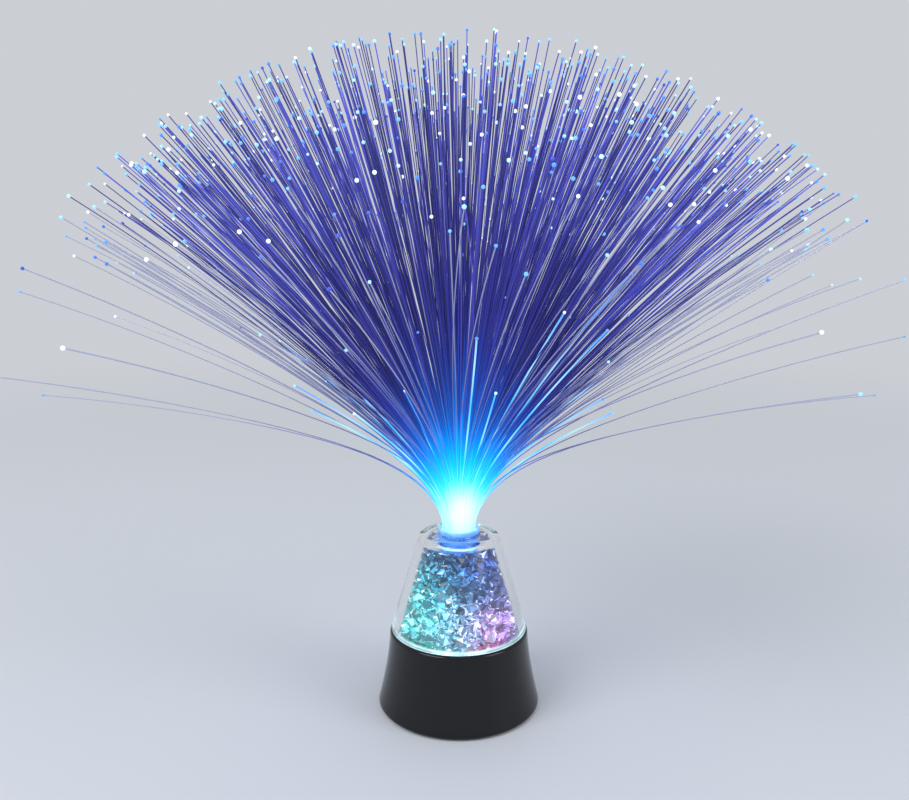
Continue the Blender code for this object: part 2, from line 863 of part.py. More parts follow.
def add_lamps():
    """The centre lamp, which feeds the fibres, and the red, green and blue ones under the crystals."""
    dome = lamp_height - lamp_radius
    foot = board_top + gap
    outline = [(0, 0), (lamp_flange_radius, 0), (lamp_flange_radius, lamp_flange_height)]
    outline += [(lamp_radius, lamp_flange_height)]
    outline += arc(0, dome, lamp_radius, 0, 90)[:-1]
    outline += [(0, lamp_height)]
    outline = [(radius, foot + height) for radius, height in outline]
    places = dict(zip(lamp_angles, around(lamp_circle_radius, lamp_angles.values())), centre=(0, 0))
    for name, place in places.items():
        add_piece(f"led_{name}", turned(outline, small_steps, place=place), lamp_finishes[name])


def add_wires():
    """Three wires: cells to switch, switch to board, and board to cells."""
    tab_top = box_top + contact_tab_rise
    tab_y = contact_inner + contact_thickness / 2
    lift = wire_radius + gap
    pin_end = switch_face() - gap - switch_depth - switch_pin_length - lift
    pad_height = board_height - lift
    middle = (box_top + board_height) / 2
    positive = [
        (-cell_pitch, tab_y, tab_top + lift),
        (-cell_pitch, tab_y - cell_radius / 2, tab_top + 2 * lift),
        (-cell_radius, tab_y - cell_radius, middle),
        (-switch_pin_spacing, pin_end - lift, middle + lift),
        (-switch_pin_spacing, pin_end, switch_height + lift),
        (-switch_pin_spacing, pin_end, switch_height),
    ]
    tube_along("wire_positive", smooth_route(positive, wire_steps), wire_radius, red_wire)
    switched = [
        (0, pin_end, switch_height),
        (0, pin_end, switch_height + lift),
        (0, pin_end - lift, middle + lift),
        (cell_radius / 2, pin_end - 2 * cell_radius, middle),
        (cell_radius, lamp_circle_radius / 2, middle),
        (cell_radius, cell_radius, pad_height - cell_radius / 2),
        (cell_radius, cell_radius, pad_height),
    ]
    tube_along("wire_switched", smooth_route(switched, wire_steps), wire_radius, red_wire)
    negative = [
        (cell_pitch, -tab_y, tab_top + lift),
        (cell_pitch, cell_radius / 2 - tab_y, tab_top + 2 * lift),
        (cell_pitch / 2, -lamp_circle_radius, middle),
        (0, -cell_pitch, pad_height - cell_radius / 2),
        (0, -cell_pitch, pad_height),
    ]
    tube_along("wire_negative", smooth_route(negative, wire_steps), wire_radius, black_wire)


def add_cone():
    """The clear cone: thick straight walls, a rounded shoulder, and a neck that holds the ferrule."""
    slope = math.atan2(cone_foot_radius - cone_top_radius, cone_top - cone_foot)
    shoulder_height = cone_top - cone_shoulder_round
    round_start = shoulder_height + cone_shoulder_round * math.sin(slope)
    shoulder_radius = cone_radius_at(round_start) - cone_shoulder_round * math.cos(slope)
    inner_top = cone_top - cone_top_thickness
    neck_outer = neck_radius + neck_wall
    profile = [(cone_foot_radius - cone_wall, cone_foot), (cone_foot_radius, cone_foot)]
    profile += arc(
        shoulder_radius, shoulder_height, cone_shoulder_round, math.degrees(slope), 90, cone_shoulder_steps
    )
    profile += [
        (neck_radius, cone_top),
        (neck_radius, inner_top - neck_reach),
        (neck_outer, inner_top - neck_reach),
        (neck_outer, inner_top),
    ]
    inner_corner = cone_radius_at(inner_top - neck_reach) - cone_wall
    profile += [(inner_corner - neck_reach, inner_top), (inner_corner, inner_top - neck_reach)]
    add_piece("crystal_cone", turned(profile), clear_acrylic)


def add_tray_and_tube():
    """The clear tray that carries the crystals, and the tube that leads light up to the ferrule."""
    tray_foot_radius = cone_radius_at(cone_foot) - cone_wall - gap
    tray_top_radius = cone_radius_at(tray_top) - cone_wall - gap
    boss_radius_inside = tube_radius - tube_wall - gap
    boss_top = tray_top + tray_boss_height
    profile = [
        (0, cone_foot - tray_spigot),
        (window_radius - gap, cone_foot - tray_spigot),
        (window_radius - gap, cone_foot),
        (tray_foot_radius, cone_foot),
        (tray_top_radius, tray_top),
        (boss_radius_inside, tray_top),
        (boss_radius_inside, boss_top),
        (0, boss_top),
    ]
    add_piece("crystal_tray", turned(profile, middle_steps), clear_acrylic)
    tube = [
        (tube_radius - tube_wall, tube_foot),
        (tube_radius, tube_foot),
        (tube_radius, tube_top),
        (tube_radius - tube_wall, tube_top),
    ]
    add_piece("light_tube", turned(tube, coarse_steps), clear_acrylic)


def add_crystals():
    """The crushed crystals, packed between the tube and the cone as one mass of broken facets."""
    chance = random.Random(crystal_seed)
    low = tray_top + gap
    high = cone_top - cone_top_thickness - crystal_top_clearance
    bore = tube_radius + gap

    def wall_at(height):
        return cone_radius_at(height) - cone_wall - gap

    outline = []
    for row in range(crystal_rows + 1):
        height = low + (high - low) * row / crystal_rows
        outline.append((wall_at(height) - crystal_stand_out, height))
    top_radius = outline[-1][0]
    for ring in range(1, crystal_top_rings):
        outline.append((top_radius + (bore - top_radius) * ring / crystal_top_rings, high))

    bm = bmesh.new()
    rings = []
    for index, (radius, height) in enumerate(outline):
        shake = crystal_shake if index else 0
        ring = []
        for column in range(crystal_columns):
            angle = 2 * math.pi * (column + crystal_brick_share * (index % 2)) / crystal_columns
            point = Vector((radius * math.cos(angle), radius * math.sin(angle), height))
            point += Vector([shake * chance.uniform(-1, 1) for _ in range(3)])
            point.z = min(point.z, high)
            ring.append(bm.verts.new(point))
        rings.append(ring)
    for height in (high - crystal_shake, low):
        angles = [2 * math.pi * column / crystal_columns for column in range(crystal_columns)]
        rings.append([bm.verts.new((bore * math.cos(a), bore * math.sin(a), height)) for a in angles])

    rough_faces = []
    for index, ring in enumerate(rings):
        following = rings[(index + 1) % len(rings)]
        for column in range(crystal_columns):
            after = (column + 1) % crystal_columns
            face = bm.faces.new((ring[column], ring[after], following[after], following[column]))
            if index < len(outline) - 1:
                rough_faces.append(face)
    bmesh.ops.recalc_face_normals(bm, faces=bm.faces)
    for face in rough_faces:
        rise = crystal_stand_out * chance.uniform(*crystal_rise_shares)
        peak = bmesh.ops.poke(bm, faces=[face], offset=rise)["verts"][0]
        peak.co.z = min(max(peak.co.z, low), high + crystal_stand_out)
        reach = math.hypot(peak.co.x, peak.co.y)
        peak.co.xy = peak.co.xy * min(max(reach, bore + crystal_shake), wall_at(peak.co.z)) / reach
    add_piece("crystal_bed", bm, crystal_clear, smooth=False)


def add_ferrule():
    """The ferrule: a flange on the cone's top, a body in its neck, and a stepped tail towards the tube."""
    seat = cone_top + gap
    body_foot = seat - ferrule_body_height
    step_foot = body_foot - ferrule_step_height
    funnel_top = body_foot + ferrule_funnel_height / 2
    funnel_foot = funnel_top - ferrule_funnel_height
    profile = [
        (ferrule_tail_bore_radius, ferrule_foot),
        (ferrule_tail_radius, ferrule_foot),
        (ferrule_tail_radius, step_foot),
        (ferrule_step_radius, step_foot),
        (ferrule_step_radius, body_foot),
        (ferrule_body_radius, body_foot),
        (ferrule_body_radius, seat),
        (ferrule_flange_radius + ferrule_edge, seat),
        (ferrule_flange_radius + ferrule_edge, ferrule_mouth - ferrule_edge),
        (ferrule_flange_radius, ferrule_mouth),
        (ferrule_flange_radius - ferrule_edge, ferrule_mouth),
        (ferrule_bore_radius, seat),
        (ferrule_bore_radius, funnel_top),
        (ferrule_tail_bore_radius, funnel_foot),
    ]
    ferrule = add_piece("fibre_ferrule", turned(profile, middle_steps), ferrule_blue)
    plug = [
        (0, ferrule_foot),
        (ferrule_tail_bore_radius - gap, ferrule_foot),
        (ferrule_tail_bore_radius - gap, funnel_foot),
        (ferrule_bore_radius - gap, funnel_top),
        (ferrule_bore_radius - gap, potting_top),
        (0, potting_top),
    ]
    return ferrule, plug


def fibre_path(spread, length):
    """(radius, height) steps of a fibre from the potting to its tip, relative to its root.

    It leaves upright, bends outwards over the bend length, and droops a little towards its tip.
    """
    full_step = fibre_length / path_steps
    steps = math.ceil(length / full_step)
    radius = 0
    height = 0
    path = [(radius, height)]
    for index in range(steps):
        step = min(full_step, length - index * full_step)
        run = index * full_step + step / 2
        bent_share = 1 - math.exp(-run / bend_length)
        lean = spread * bent_share + droop_angle * math.sin(spread) * (run / fibre_length) ** 2
        radius += step * math.sin(lean)
        height += step * math.cos(lean)
        path.append((radius, height))
    return path


def fibre_spread(root_share):
    """The angle that a fibre leans to: steady across the bundle, and wider for the few at its edge."""
    return spread_angle * root_share + edge_spread_angle * root_share**edge_spread_power


def fibre_rings(root_radius, azimuth, spread, length):
    """The three-sided sections of one fibre, from inside the potting to its tip."""
    path = fibre_path(spread, length)
    shares = curved_shares
    if spread < curved_angle:
        shares = bent_shares
    if spread < straight_angle:
        shares = straight_shares
    outward = Vector((math.cos(azimuth), math.sin(azimuth), 0))
    sideways = Vector((-math.sin(azimuth), math.cos(azimuth), 0))
    root = outward * root_radius + Vector((0, 0, potting_top))
    shares = [share for share in shares if share * fibre_length < length * bend_end_share]
    knots = [path[round(share * path_steps)] for share in shares]
    centres = [root - Vector((0, 0, fibre_root))]
    centres += [root + outward * radius + Vector((0, 0, height)) for radius, height in [*knots, path[-1]]]
    rings = []
    for index, centre in enumerate(centres):
        before = centres[max(index - 1, 0)]
        after = centres[min(index + 1, len(centres) - 1)]
        along = Vector((0, 0, 1)) if index == 0 else (after - before).normalized()
        across = sideways.cross(along).normalized()
        corners = []
        for corner in range(3):
            angle = math.pi / 2 + 2 * math.pi * corner / 3
            offset = sideways * math.cos(angle) + across * math.sin(angle)
            corners.append(centre + offset * fibre_thickness / 2)
        rings.append(corners)
    return rings


def add_strand(bm, rings):
    """One closed strand through its sections."""
    sections = [[bm.verts.new(corner) for corner in ring] for ring in rings]
    bm.faces.new(sections[0])
    bm.faces.new(sections[-1])
    for lower, upper in zip(sections, sections[1:]):
        for index in range(3):
            after = (index + 1) % 3
            bm.faces.new((lower[index], lower[after], upper[after], upper[index]))


def add_fibres(plug):
    """The spray: every fibre is fused into the resin that pots the bundle, and none crosses another.

    The roots lie in a double spiral, so each fibre has a twin half a turn round, and the spread grows
    with the root's distance from the axis. The spiral is counted from its rim, where the widest pair
    points to the lamp's left and right.
    """
    chance = random.Random(fibre_seed)
    spray = add_piece("fibre_spray", turned(plug, middle_steps), fibre_clear)
    strands = bmesh.new()
    pairs = fibre_count // 2
    for pair in range(pairs):
        root_share = math.sqrt((pair + 0.5) / pairs)
        length = fibre_length * (1 - length_scatter_share * chance.random() ** 2)
        if pair % short_fibre_every == short_fibre_every - 1:
            length = fibre_length * short_length_share
        if pair == 0:
            length = fibre_length
        for half_turn in (0, math.pi):
            azimuth = (pairs - 1 - pair) * divergence + half_turn
            rings = fibre_rings(bundle_radius * root_share, azimuth, fibre_spread(root_share), length)
            add_strand(strands, rings)
    combine(spray, "UNION", strands)
    return spray


def build():
    add_base_housing()
    add_bottom_cover()
    door = add_battery_door()
    ride_on(add_axis("battery_door_axis", hinge_place), [door])
    add_feet()
    add_screws(
        "cover_screw",
        screw_circle_radius,
        screw_angles,
        cover_height,
        (screw_head_radius, screw_head_depth, screw_shank_radius, screw_length),
    )
    add_cells()
    add_contacts()
    add_springs()
    add_switch()
    add_board()
    add_lamps()
    add_wires()
    add_cone()
    add_tray_and_tube()
    add_crystals()
    ferrule, plug = add_ferrule()
    spray = add_fibres(plug)
    ride_on(add_axis("spray_lift_axis", (0, 0, cone_top)), [ferrule, spray])


build()
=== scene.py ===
"""The looks of a fibre optic lamp: a glossy base, a clear cone of lit crystals, and a spray of fibres."""

import math
import random

import bmesh
import bpy
import numpy as np
from mathutils import Matrix, Vector


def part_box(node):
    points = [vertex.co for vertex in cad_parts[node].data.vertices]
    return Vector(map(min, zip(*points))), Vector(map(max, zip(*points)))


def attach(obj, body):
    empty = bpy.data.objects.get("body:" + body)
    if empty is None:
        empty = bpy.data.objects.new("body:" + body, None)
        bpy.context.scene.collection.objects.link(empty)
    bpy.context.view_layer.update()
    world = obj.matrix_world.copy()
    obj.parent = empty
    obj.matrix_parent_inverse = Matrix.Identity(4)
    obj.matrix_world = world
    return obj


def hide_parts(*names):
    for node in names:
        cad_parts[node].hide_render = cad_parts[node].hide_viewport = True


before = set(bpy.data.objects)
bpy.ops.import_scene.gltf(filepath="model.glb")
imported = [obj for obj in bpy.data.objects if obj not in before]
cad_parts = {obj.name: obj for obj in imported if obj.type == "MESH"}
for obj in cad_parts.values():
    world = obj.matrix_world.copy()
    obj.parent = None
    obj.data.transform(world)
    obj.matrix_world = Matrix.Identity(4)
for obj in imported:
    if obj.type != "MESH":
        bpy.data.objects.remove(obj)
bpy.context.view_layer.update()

# Sizes read from the frame
housing_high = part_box("base_housing")[1]
housing_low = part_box("base_housing")[0]
cone_low, cone_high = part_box("crystal_cone")
tray_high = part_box("crystal_tray")[1]
tube_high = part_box("light_tube")[1]
ferrule_low, ferrule_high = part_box("fibre_ferrule")
bed_low, bed_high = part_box("crystal_bed")
knob_low, knob_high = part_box("switch_knob")
spray_low, spray_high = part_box("fibre_spray")

# Base shell
base_height = housing_high.z
base_top_radius = 0.0369
base_flare = 0.0070
base_flare_power = 1.6
base_wall = 0.0022
rim_height = housing_low.z
foot_round = 0.0014
shoulder_round = 0.0016
window_radius = 0.0255
window_edge = 0.0003
deck_thickness = 0.0022
slot_inset = 0.0008
slot_half_height = 0.0016
slot_depth = 0.006
flare_steps = 24
turn_steps = 192
round_steps = 8
crease_angle = 30

# Clear cone
cone_foot = cone_low.z
cone_top = cone_high.z
cone_foot_radius = cone_high.x
cone_top_radius = 0.0209
cone_wall = 0.0043
cone_shoulder_round = 0.0042
cone_top_thickness = 0.0042
cone_edge_round = 0.0004
neck_radius = 0.0102
neck_wall = 0.0014
neck_reach = 0.0016
cone_inner_round = 0.0040
cone_side_steps = 12
cone_shoulder_steps = 14
cone_edge_steps = 4
cone_inner_steps = 10
rim_glow_foot = 0.0001
rim_glow_top = 0.0010
rim_glow_strength = 0.9

# Crystals
crystal_floor = bed_low.z
crystal_top = bed_high.z
crystal_bore = tube_high.x + 0.0004
crystal_wall_gap = 0.0003
crystal_sizes = ((0.0034, 900), (0.0028, 3000), (0.0023, 7000), (0.0018, 15000), (0.0014, 26000))
crystal_crowding = 0.72
crystal_press = 0.55
crystal_wall_share = 0.5
crystal_floor_share = 0.12
crystal_headroom = 0.0014
crystal_seed = 5
chip_corners = (9, 14)
chip_proportions = ((0.90, 0.75, 0.65), (1.1, 1.0, 0.95))

# The crystals' light, painted into their faces' colour: a painted glow from the lamps under them, a painted
# brightness for each chip, a painted sparkle for each face, and painted glints. A tone is the mean and
# spread of a brightness's logarithm
upper_light = (0.012, 0.042, 0.25)
upper_light_fall = 0.30
centre_light_forward = 0.012
chip_light_tone = (-0.05, 0.35)
dimmest_chip_light = 0.6
facet_sparkle_tone = (-0.30, 0.75)
dimmest_facet_sparkle = 0.32
darkest_colour = 0.008
palest_chip_light = 0.10
glint_share = 0.08
glint_white = 0.50
glint_gain = 2.2

# Each lamp's colour among the crystals, and how far it reaches to the sides and upwards
lamp_glows = {
    "green": ((0.00, 0.54, 0.22), 0.0210, 0.031),
    "red": ((0.90, 0.05, 0.30), 0.0120, 0.013),
    "blue": ((0.06, 0.04, 0.34), 0.0260, 0.040),
    "centre": ((0.26, 0.46, 0.52), 0.024, 0.018),
}

# Collar
collar_flange_radius = ferrule_high.x
collar_mouth = ferrule_high.z
collar_foot = ferrule_low.z
collar_seat = cone_top + 0.0003
collar_round = 0.0005
collar_body_radius = 0.0099
collar_bore_radius = 0.0093
collar_step_radius = 0.0084
collar_tail_radius = 0.0066
collar_tail_bore_radius = 0.0056
collar_body_height = 0.0063
collar_step_height = 0.0015
collar_edge_steps = 5
collar_turn_steps = 128
funnel_drop = 0.0040
funnel_height = 0.0040
potting_recess = 0.0012
potting_top = collar_mouth - potting_recess
resin_depth = 0.0030
resin_gap = 0.0003
resin_edge_width = 0.0006
resin_edge_drop = 0.0002
resin_crown = 0.0003
resin_turn_steps = 96

# Fibres
frame_fibres = 300
frame_fibre_seed = 11
extra_fibres = 1100
extra_fibre_seed = 23
fibre_radius = 0.00026
extra_fibre_radius = 0.00023
fibre_sides = 5
fibre_knots = 22
bundle_radius = 0.0082
bend_length = 0.030
spread_angle = math.radians(50)
edge_spread_angle = math.radians(29)
edge_spread_power = 26
droop_angle = math.radians(9)
length_scatter = 0.13
length_power = 2
short_fibre_every = 41
short_length = 0.55
edge_limit = math.radians(50)
golden_angle = math.pi * (3 - math.sqrt(5))
path_steps = 160
knot_power = 1.5
swing_power = 1.5
fibre_length = spray_high.z - potting_top
fibre_crease_angle = 60
ring_guide = (0.31, 0.17, -0.2)
ring_guide_turn = 0.05
tip_radius = 0.00068
tip_sizes = (0.75, 1.15)
tip_tone = (0.62, 0.30)
box_margin = 1.2
fibre_tone_power = 1.8
clear_limit = math.radians(49)
front_limit = math.radians(58)
side_limit = math.radians(80)
straight_back_share = 0.9

# The unevenness of the extra fibres
azimuth_scatter = 0.05
edge_limit_scatter = (0.85, 1.1)
spread_scatter = 0.04
extra_length_power = 1.8
shorter_share = 0.05
shorter_lengths = (0.55, 0.9)
droop_scatter = (0.3, 1.7)
bend_scatter = (0.85, 1.2)
swing_scatter = 0.05

# The light in the fibres, by the distance from the bundle's bright core
core_side = 0.0012
core_rise = 0.0125
core_squeeze = (1, 0.5, 0.48)
fibre_light_reach = 0.125
clear_light_reach = 0.12
bright_light_reach = 0.16

# Short bright fibres: azimuth and spread in degrees, and the share of a whole fibre's length
bright_fibre_radius = 0.00040
bright_root_share = 1.0
bright_droop = 2.5
bright_bends = (0.8, 1.0)
bright_swing_scatter = 0.04
bright_fibres = (
    (225, 54, 0.41),
    (228, 46, 0.40),
    (195, 47, 0.55),
    (210, 60, 0.43),
    (240, 36, 0.38),
    (182, 56, 0.46),
    (275, 46, 0.62),
    (288, 44, 0.42),
    (296, 44, 0.65),
    (307, 46, 0.63),
    (308, 41, 0.72),
    (330, 56, 0.44),
    (345, 62, 0.41),
    (2, 50, 0.45),
    (150, 58, 0.45),
    (40, 60, 0.45),
    (90, 55, 0.42),
)

# Camera, in metres and in pixels of the photograph
photo_width = 909
photo_focal = 860
sensor_width = 36
camera_distance = 0.436
camera_height = 0.2426
camera_pitch = math.radians(10)
camera_side = -0.0023
near_clip = 0.01

# Stage and lights: each light's place, size and power
background = (0.60, 0.625, 0.665)
floor_tone = (0.70, 0.725, 0.76)
floor_mottle = 0.985
floor_radius = 4.0
floor_steps = 128
floor_fade = (0.25, 1.7)
light_target = (0, 0, 0.1)
softboxes = {
    "key": ((-0.9, -0.7, 1.1), (0.9, 0.7), 9),
    "fill": ((1.0, -0.5, 0.7), (0.6, 0.9), 4),
}

# CAD nodes
weld_reach = 0.00001
cad_crease_angle = 32

body_of_lamp = "lamp"
body_of_spray = "spray"


def base_radius_at(height):
    """The outer radius of the base, which flares towards the table."""
    fall = max(0, 1 - height / base_height)
    return base_top_radius + base_flare * fall**base_flare_power


def cone_radius_at(height):
    """The outer radius of the clear cone's straight side."""
    rise = (height - cone_foot) / (cone_top - cone_foot)
    return cone_foot_radius + (cone_top_radius - cone_foot_radius) * rise


def hollow_radius_at(height):
    """The radius of the cone's hollow, with its round upper corner, at a height or an array of heights."""
    into_round = np.maximum(0, height - (cone_top - cone_top_thickness - cone_inner_round))
    round_in = cone_inner_round - np.sqrt(np.maximum(0, cone_inner_round**2 - into_round**2))
    return cone_radius_at(height) - cone_wall - round_in


def arc(centre_radius, centre_height, radius, start, end, steps=round_steps):
    """Points along a fillet, as (radius, height) pairs, with its angles in degrees."""
    angles = [math.radians(start + (end - start) * step / steps) for step in range(steps + 1)]
    return [(centre_radius + radius * math.cos(a), centre_height + radius * math.sin(a)) for a in angles]


# Node trees


class Tree:
    """A short way to write a material's nodes."""

    def __init__(self, name):
        self.material = bpy.data.materials.new(name)
        self.material.use_nodes = True
        self.nodes = self.material.node_tree.nodes
        self.links = self.material.node_tree.links
        self.shader = self.nodes["Principled BSDF"]

    def add(self, kind, **settings):
        node = self.nodes.new(kind)
        for key, value in settings.items():
            setattr(node, key, value)
        return node

    def link(self, source, target):
        self.links.new(source, target)

    def set(self, **values):
        """Sets sockets of the shader. A name's underscores stand for spaces."""
        for key, value in values.items():
            self.shader.inputs[key.replace("_", " ")].default_value = value

    def place(self, offset=(0, 0, 0), scale=(1, 1, 1)):
        """Object coordinates, moved and then scaled."""
        where = self.add("ShaderNodeTexCoord")
        mapping = self.add("ShaderNodeMapping")
        mapping.inputs["Location"].default_value = [-o * s for o, s in zip(offset, scale)]
        mapping.inputs["Scale"].default_value = scale
        self.link(where.outputs["Object"], mapping.inputs["Vector"])
        return mapping.outputs["Vector"]

    def noise(self, scale, detail=3, roughness=0.5, vector=None):
        node = self.add("ShaderNodeTexNoise")
        node.inputs["Scale"].default_value = scale
        node.inputs["Detail"].default_value = detail
        node.inputs["Roughness"].default_value = roughness
        self.link(vector or self.place(), node.inputs["Vector"])
        return node.outputs["Fac"]

    def length(self, vector):
        node = self.add("ShaderNodeVectorMath", operation="LENGTH")
        self.link(vector, node.inputs[0])
        return node.outputs["Value"]

    def span(self, value, low, high, to_low=0.0, to_high=1.0, smooth=False):
        """Maps low..high of a value to another range."""
        node = self.add("ShaderNodeMapRange")
        node.interpolation_type = "SMOOTHSTEP" if smooth else "LINEAR"
        self.link(value, node.inputs["Value"])
        ends = {"From Min": low, "From Max": high, "To Min": to_low, "To Max": to_high}
        for socket, number in ends.items():
            node.inputs[socket].default_value = number
        return node.outputs["Result"]

    def ramp(self, value, stops):
        """A colour ramp with (place, colour) stops."""
        node = self.add("ShaderNodeValToRGB")
        elements = node.color_ramp.elements
        while len(elements) < len(stops):
            elements.new(1.0)
        for element, (where, colour) in zip(elements, stops):
            element.position = where
            element.color = (*colour, 1)
        self.link(value, node.inputs["Fac"])
        return node.outputs["Color"]

    def mix(self, share, first, second, blend="MIX"):
        """Mixes two colours, each a socket or a plain colour, by a share that is a socket or a number."""
        node = self.add("ShaderNodeMix", data_type="RGBA", blend_type=blend)
        for value, socket in ((share, node.inputs[0]), (first, node.inputs[6]), (second, node.inputs[7])):
            if hasattr(value, "node"):
                self.link(value, socket)
            else:
                socket.default_value = (*value, 1) if isinstance(value, tuple) else value
        return node.outputs[2]

    def times(self, first, second):
        node = self.add("ShaderNodeMath", operation="MULTIPLY")
        for value, socket in ((first, node.inputs[0]), (second, node.inputs[1])):
            if hasattr(value, "node"):
                self.link(value, socket)
            else:
                socket.default_value = value
        return node.outputs[0]

    def attribute(self, name, output="Fac"):
        node = self.add("ShaderNodeAttribute", attribute_name=name)
        return node.outputs[output]

    def bump(self, height, strength, distance):
        node = self.add("ShaderNodeBump")
        node.inputs["Strength"].default_value = strength
        node.inputs["Distance"].default_value = distance
        self.link(height, node.inputs["Height"])
        self.link(node.outputs["Normal"], self.shader.inputs["Normal"])

    def colour(self, socket):
        self.link(socket, self.shader.inputs["Base Color"])

    def roughness(self, socket):
        self.link(socket, self.shader.inputs["Roughness"])


# Plastics: a dark and a light colour, a range of roughness, and the grain's scale, depth and strength
plastics = {
    "gloss_black": ((0.0045, 0.0045, 0.0055), (0.008, 0.008, 0.010), (0.07, 0.16), 900, 0.00002, 0.12),
    "matt_black": ((0.018, 0.018, 0.020), (0.030, 0.030, 0.033), (0.50, 0.64), 2600, 0.00006, 0.5),
    "rubber": ((0.030, 0.030, 0.031), (0.055, 0.055, 0.056), (0.78, 0.92), 3800, 0.00005, 0.5),
    "switch_plastic": ((0.20, 0.20, 0.21), (0.27, 0.27, 0.28), (0.42, 0.55), 3000, 0.00004, 0.4),
    "chip": ((0.012, 0.012, 0.012), (0.02, 0.02, 0.02), (0.35, 0.5), 4000, 0.00002, 0.25),
    "red_wire": ((0.42, 0.015, 0.012), (0.58, 0.03, 0.02), (0.36, 0.48), 1500, 0.00003, 0.2),
    "black_wire": ((0.012, 0.012, 0.012), (0.026, 0.026, 0.026), (0.36, 0.48), 1500, 0.00003, 0.2),
}


def plastic(name):
    """Moulded plastic: cloudy colour, a fine grain, and a shine that varies from place to place."""
    dark, light, (smooth, rough), grain_scale, grain_depth, grain_strength = plastics[name]
    tree = Tree(name)
    tree.colour(tree.mix(tree.noise(60, 4), dark, light))
    tree.roughness(tree.span(tree.noise(110, 5, 0.6), 0.3, 0.7, smooth, rough))
    tree.bump(tree.noise(grain_scale, 2), grain_strength, grain_depth)
    return tree


def gloss_black_finish():
    """Glossy black moulding, with faint handling marks in its shine."""
    tree = plastic("gloss_black")
    tree.set(IOR=1.45, Specular_IOR_Level=0.38)
    return tree.material


def metal_finish(name, colour, worn, low=0.18, high=0.36):
    """Plated metal, with fine streaks and slight tarnish."""
    tree = Tree(name)
    streaks = tree.noise(900, 3, 0.6, tree.place(scale=(1, 1, 0.08)))
    tree.colour(tree.mix(tree.span(tree.noise(300, 4), 0.35, 0.75), colour, worn))
    tree.roughness(tree.span(streaks, 0.3, 0.7, low, high))
    tree.bump(streaks, 0.08, 0.00004)
    tree.set(Metallic=1.0)
    return tree.material


def jacket_finish():
    """The plain jacket of a cell."""
    tree = Tree("cell_jacket")
    tree.colour(tree.mix(tree.noise(140, 3), (0.13, 0.14, 0.16), (0.19, 0.20, 0.22)))
    tree.roughness(tree.span(tree.noise(220, 3), 0.3, 0.7, 0.24, 0.36))
    tree.bump(tree.noise(500, 2), 0.1, 0.00003)
    tree.set(Metallic=0.6)
    return tree.material


def board_finish():
    """Green solder mask, with the copper's tracks faintly raised under it."""
    tree = Tree("solder_mask")
    cells = tree.add("ShaderNodeTexVoronoi", feature="DISTANCE_TO_EDGE", distance="MANHATTAN")
    cells.inputs["Scale"].default_value = 260
    tree.link(tree.place(), cells.inputs["Vector"])
    tracks = tree.span(cells.outputs["Distance"], 0.04, 0.09, 0.0, 1.0)
    tree.colour(tree.mix(tracks, (0.015, 0.10, 0.045), (0.022, 0.17, 0.075)))
    tree.roughness(tree.span(tree.noise(300, 2), 0.3, 0.7, 0.32, 0.46))
    tree.bump(tracks, 0.2, 0.00004)
    return tree.material


def clear_acrylic_finish():
    """The cone's clear acrylic. Light that enters at the lamps leaves it at its lower edge, which glows."""
    tree = Tree("clear_acrylic")
    tree.colour(tree.mix(tree.noise(30, 2), (0.955, 0.98, 1.0), (0.969325, 0.9947, 1.0)))
    tree.roughness(tree.span(tree.noise(160, 4), 0.35, 0.75, 0.012, 0.045))
    tree.set(IOR=1.49, Transmission_Weight=1.0, Emission_Color=(0.62, 0.92, 1.0, 1))
    split = tree.add("ShaderNodeSeparateXYZ")
    tree.link(tree.place(), split.inputs[0])
    foot, top = cone_foot + rim_glow_foot, cone_foot + rim_glow_top
    low = tree.span(split.outputs["Z"], foot, top, 1.0, 0.0, True)
    patchy = tree.span(tree.noise(90, 3), 0.35, 0.7, 0.35, 1.0)
    glow = tree.times(tree.times(low, patchy), rim_glow_strength)
    tree.link(glow, tree.shader.inputs["Emission Strength"])
    return tree.material


def crystal_finish():
    """Crushed crystals, whose broken faces catch the lamps' colours. The lamps' light is painted into each
    face's colour, as base colour and as emission.
    """
    tree = Tree("crystal")
    glow = tree.attribute("glow", "Color")
    # Painted light: the lamps' painted glow, each face's painted sparkle and the painted glints, used as
    # the base colour
    tree.colour(glow)
    tree.roughness(tree.span(tree.noise(700, 3), 0.3, 0.7, 0.06, 0.20))
    tree.bump(tree.noise(900, 2), 0.15, 0.00008)
    tree.link(glow, tree.shader.inputs["Emission Color"])
    tree.set(IOR=1.5, Specular_IOR_Level=0.12, Emission_Strength=0.80)
    return tree.material


def distance_from_core(tree):
    """How far a place lies from the bundle's bright core. Height and depth count for less than width."""
    return tree.length(tree.place((core_side, 0, collar_mouth + core_rise), core_squeeze))


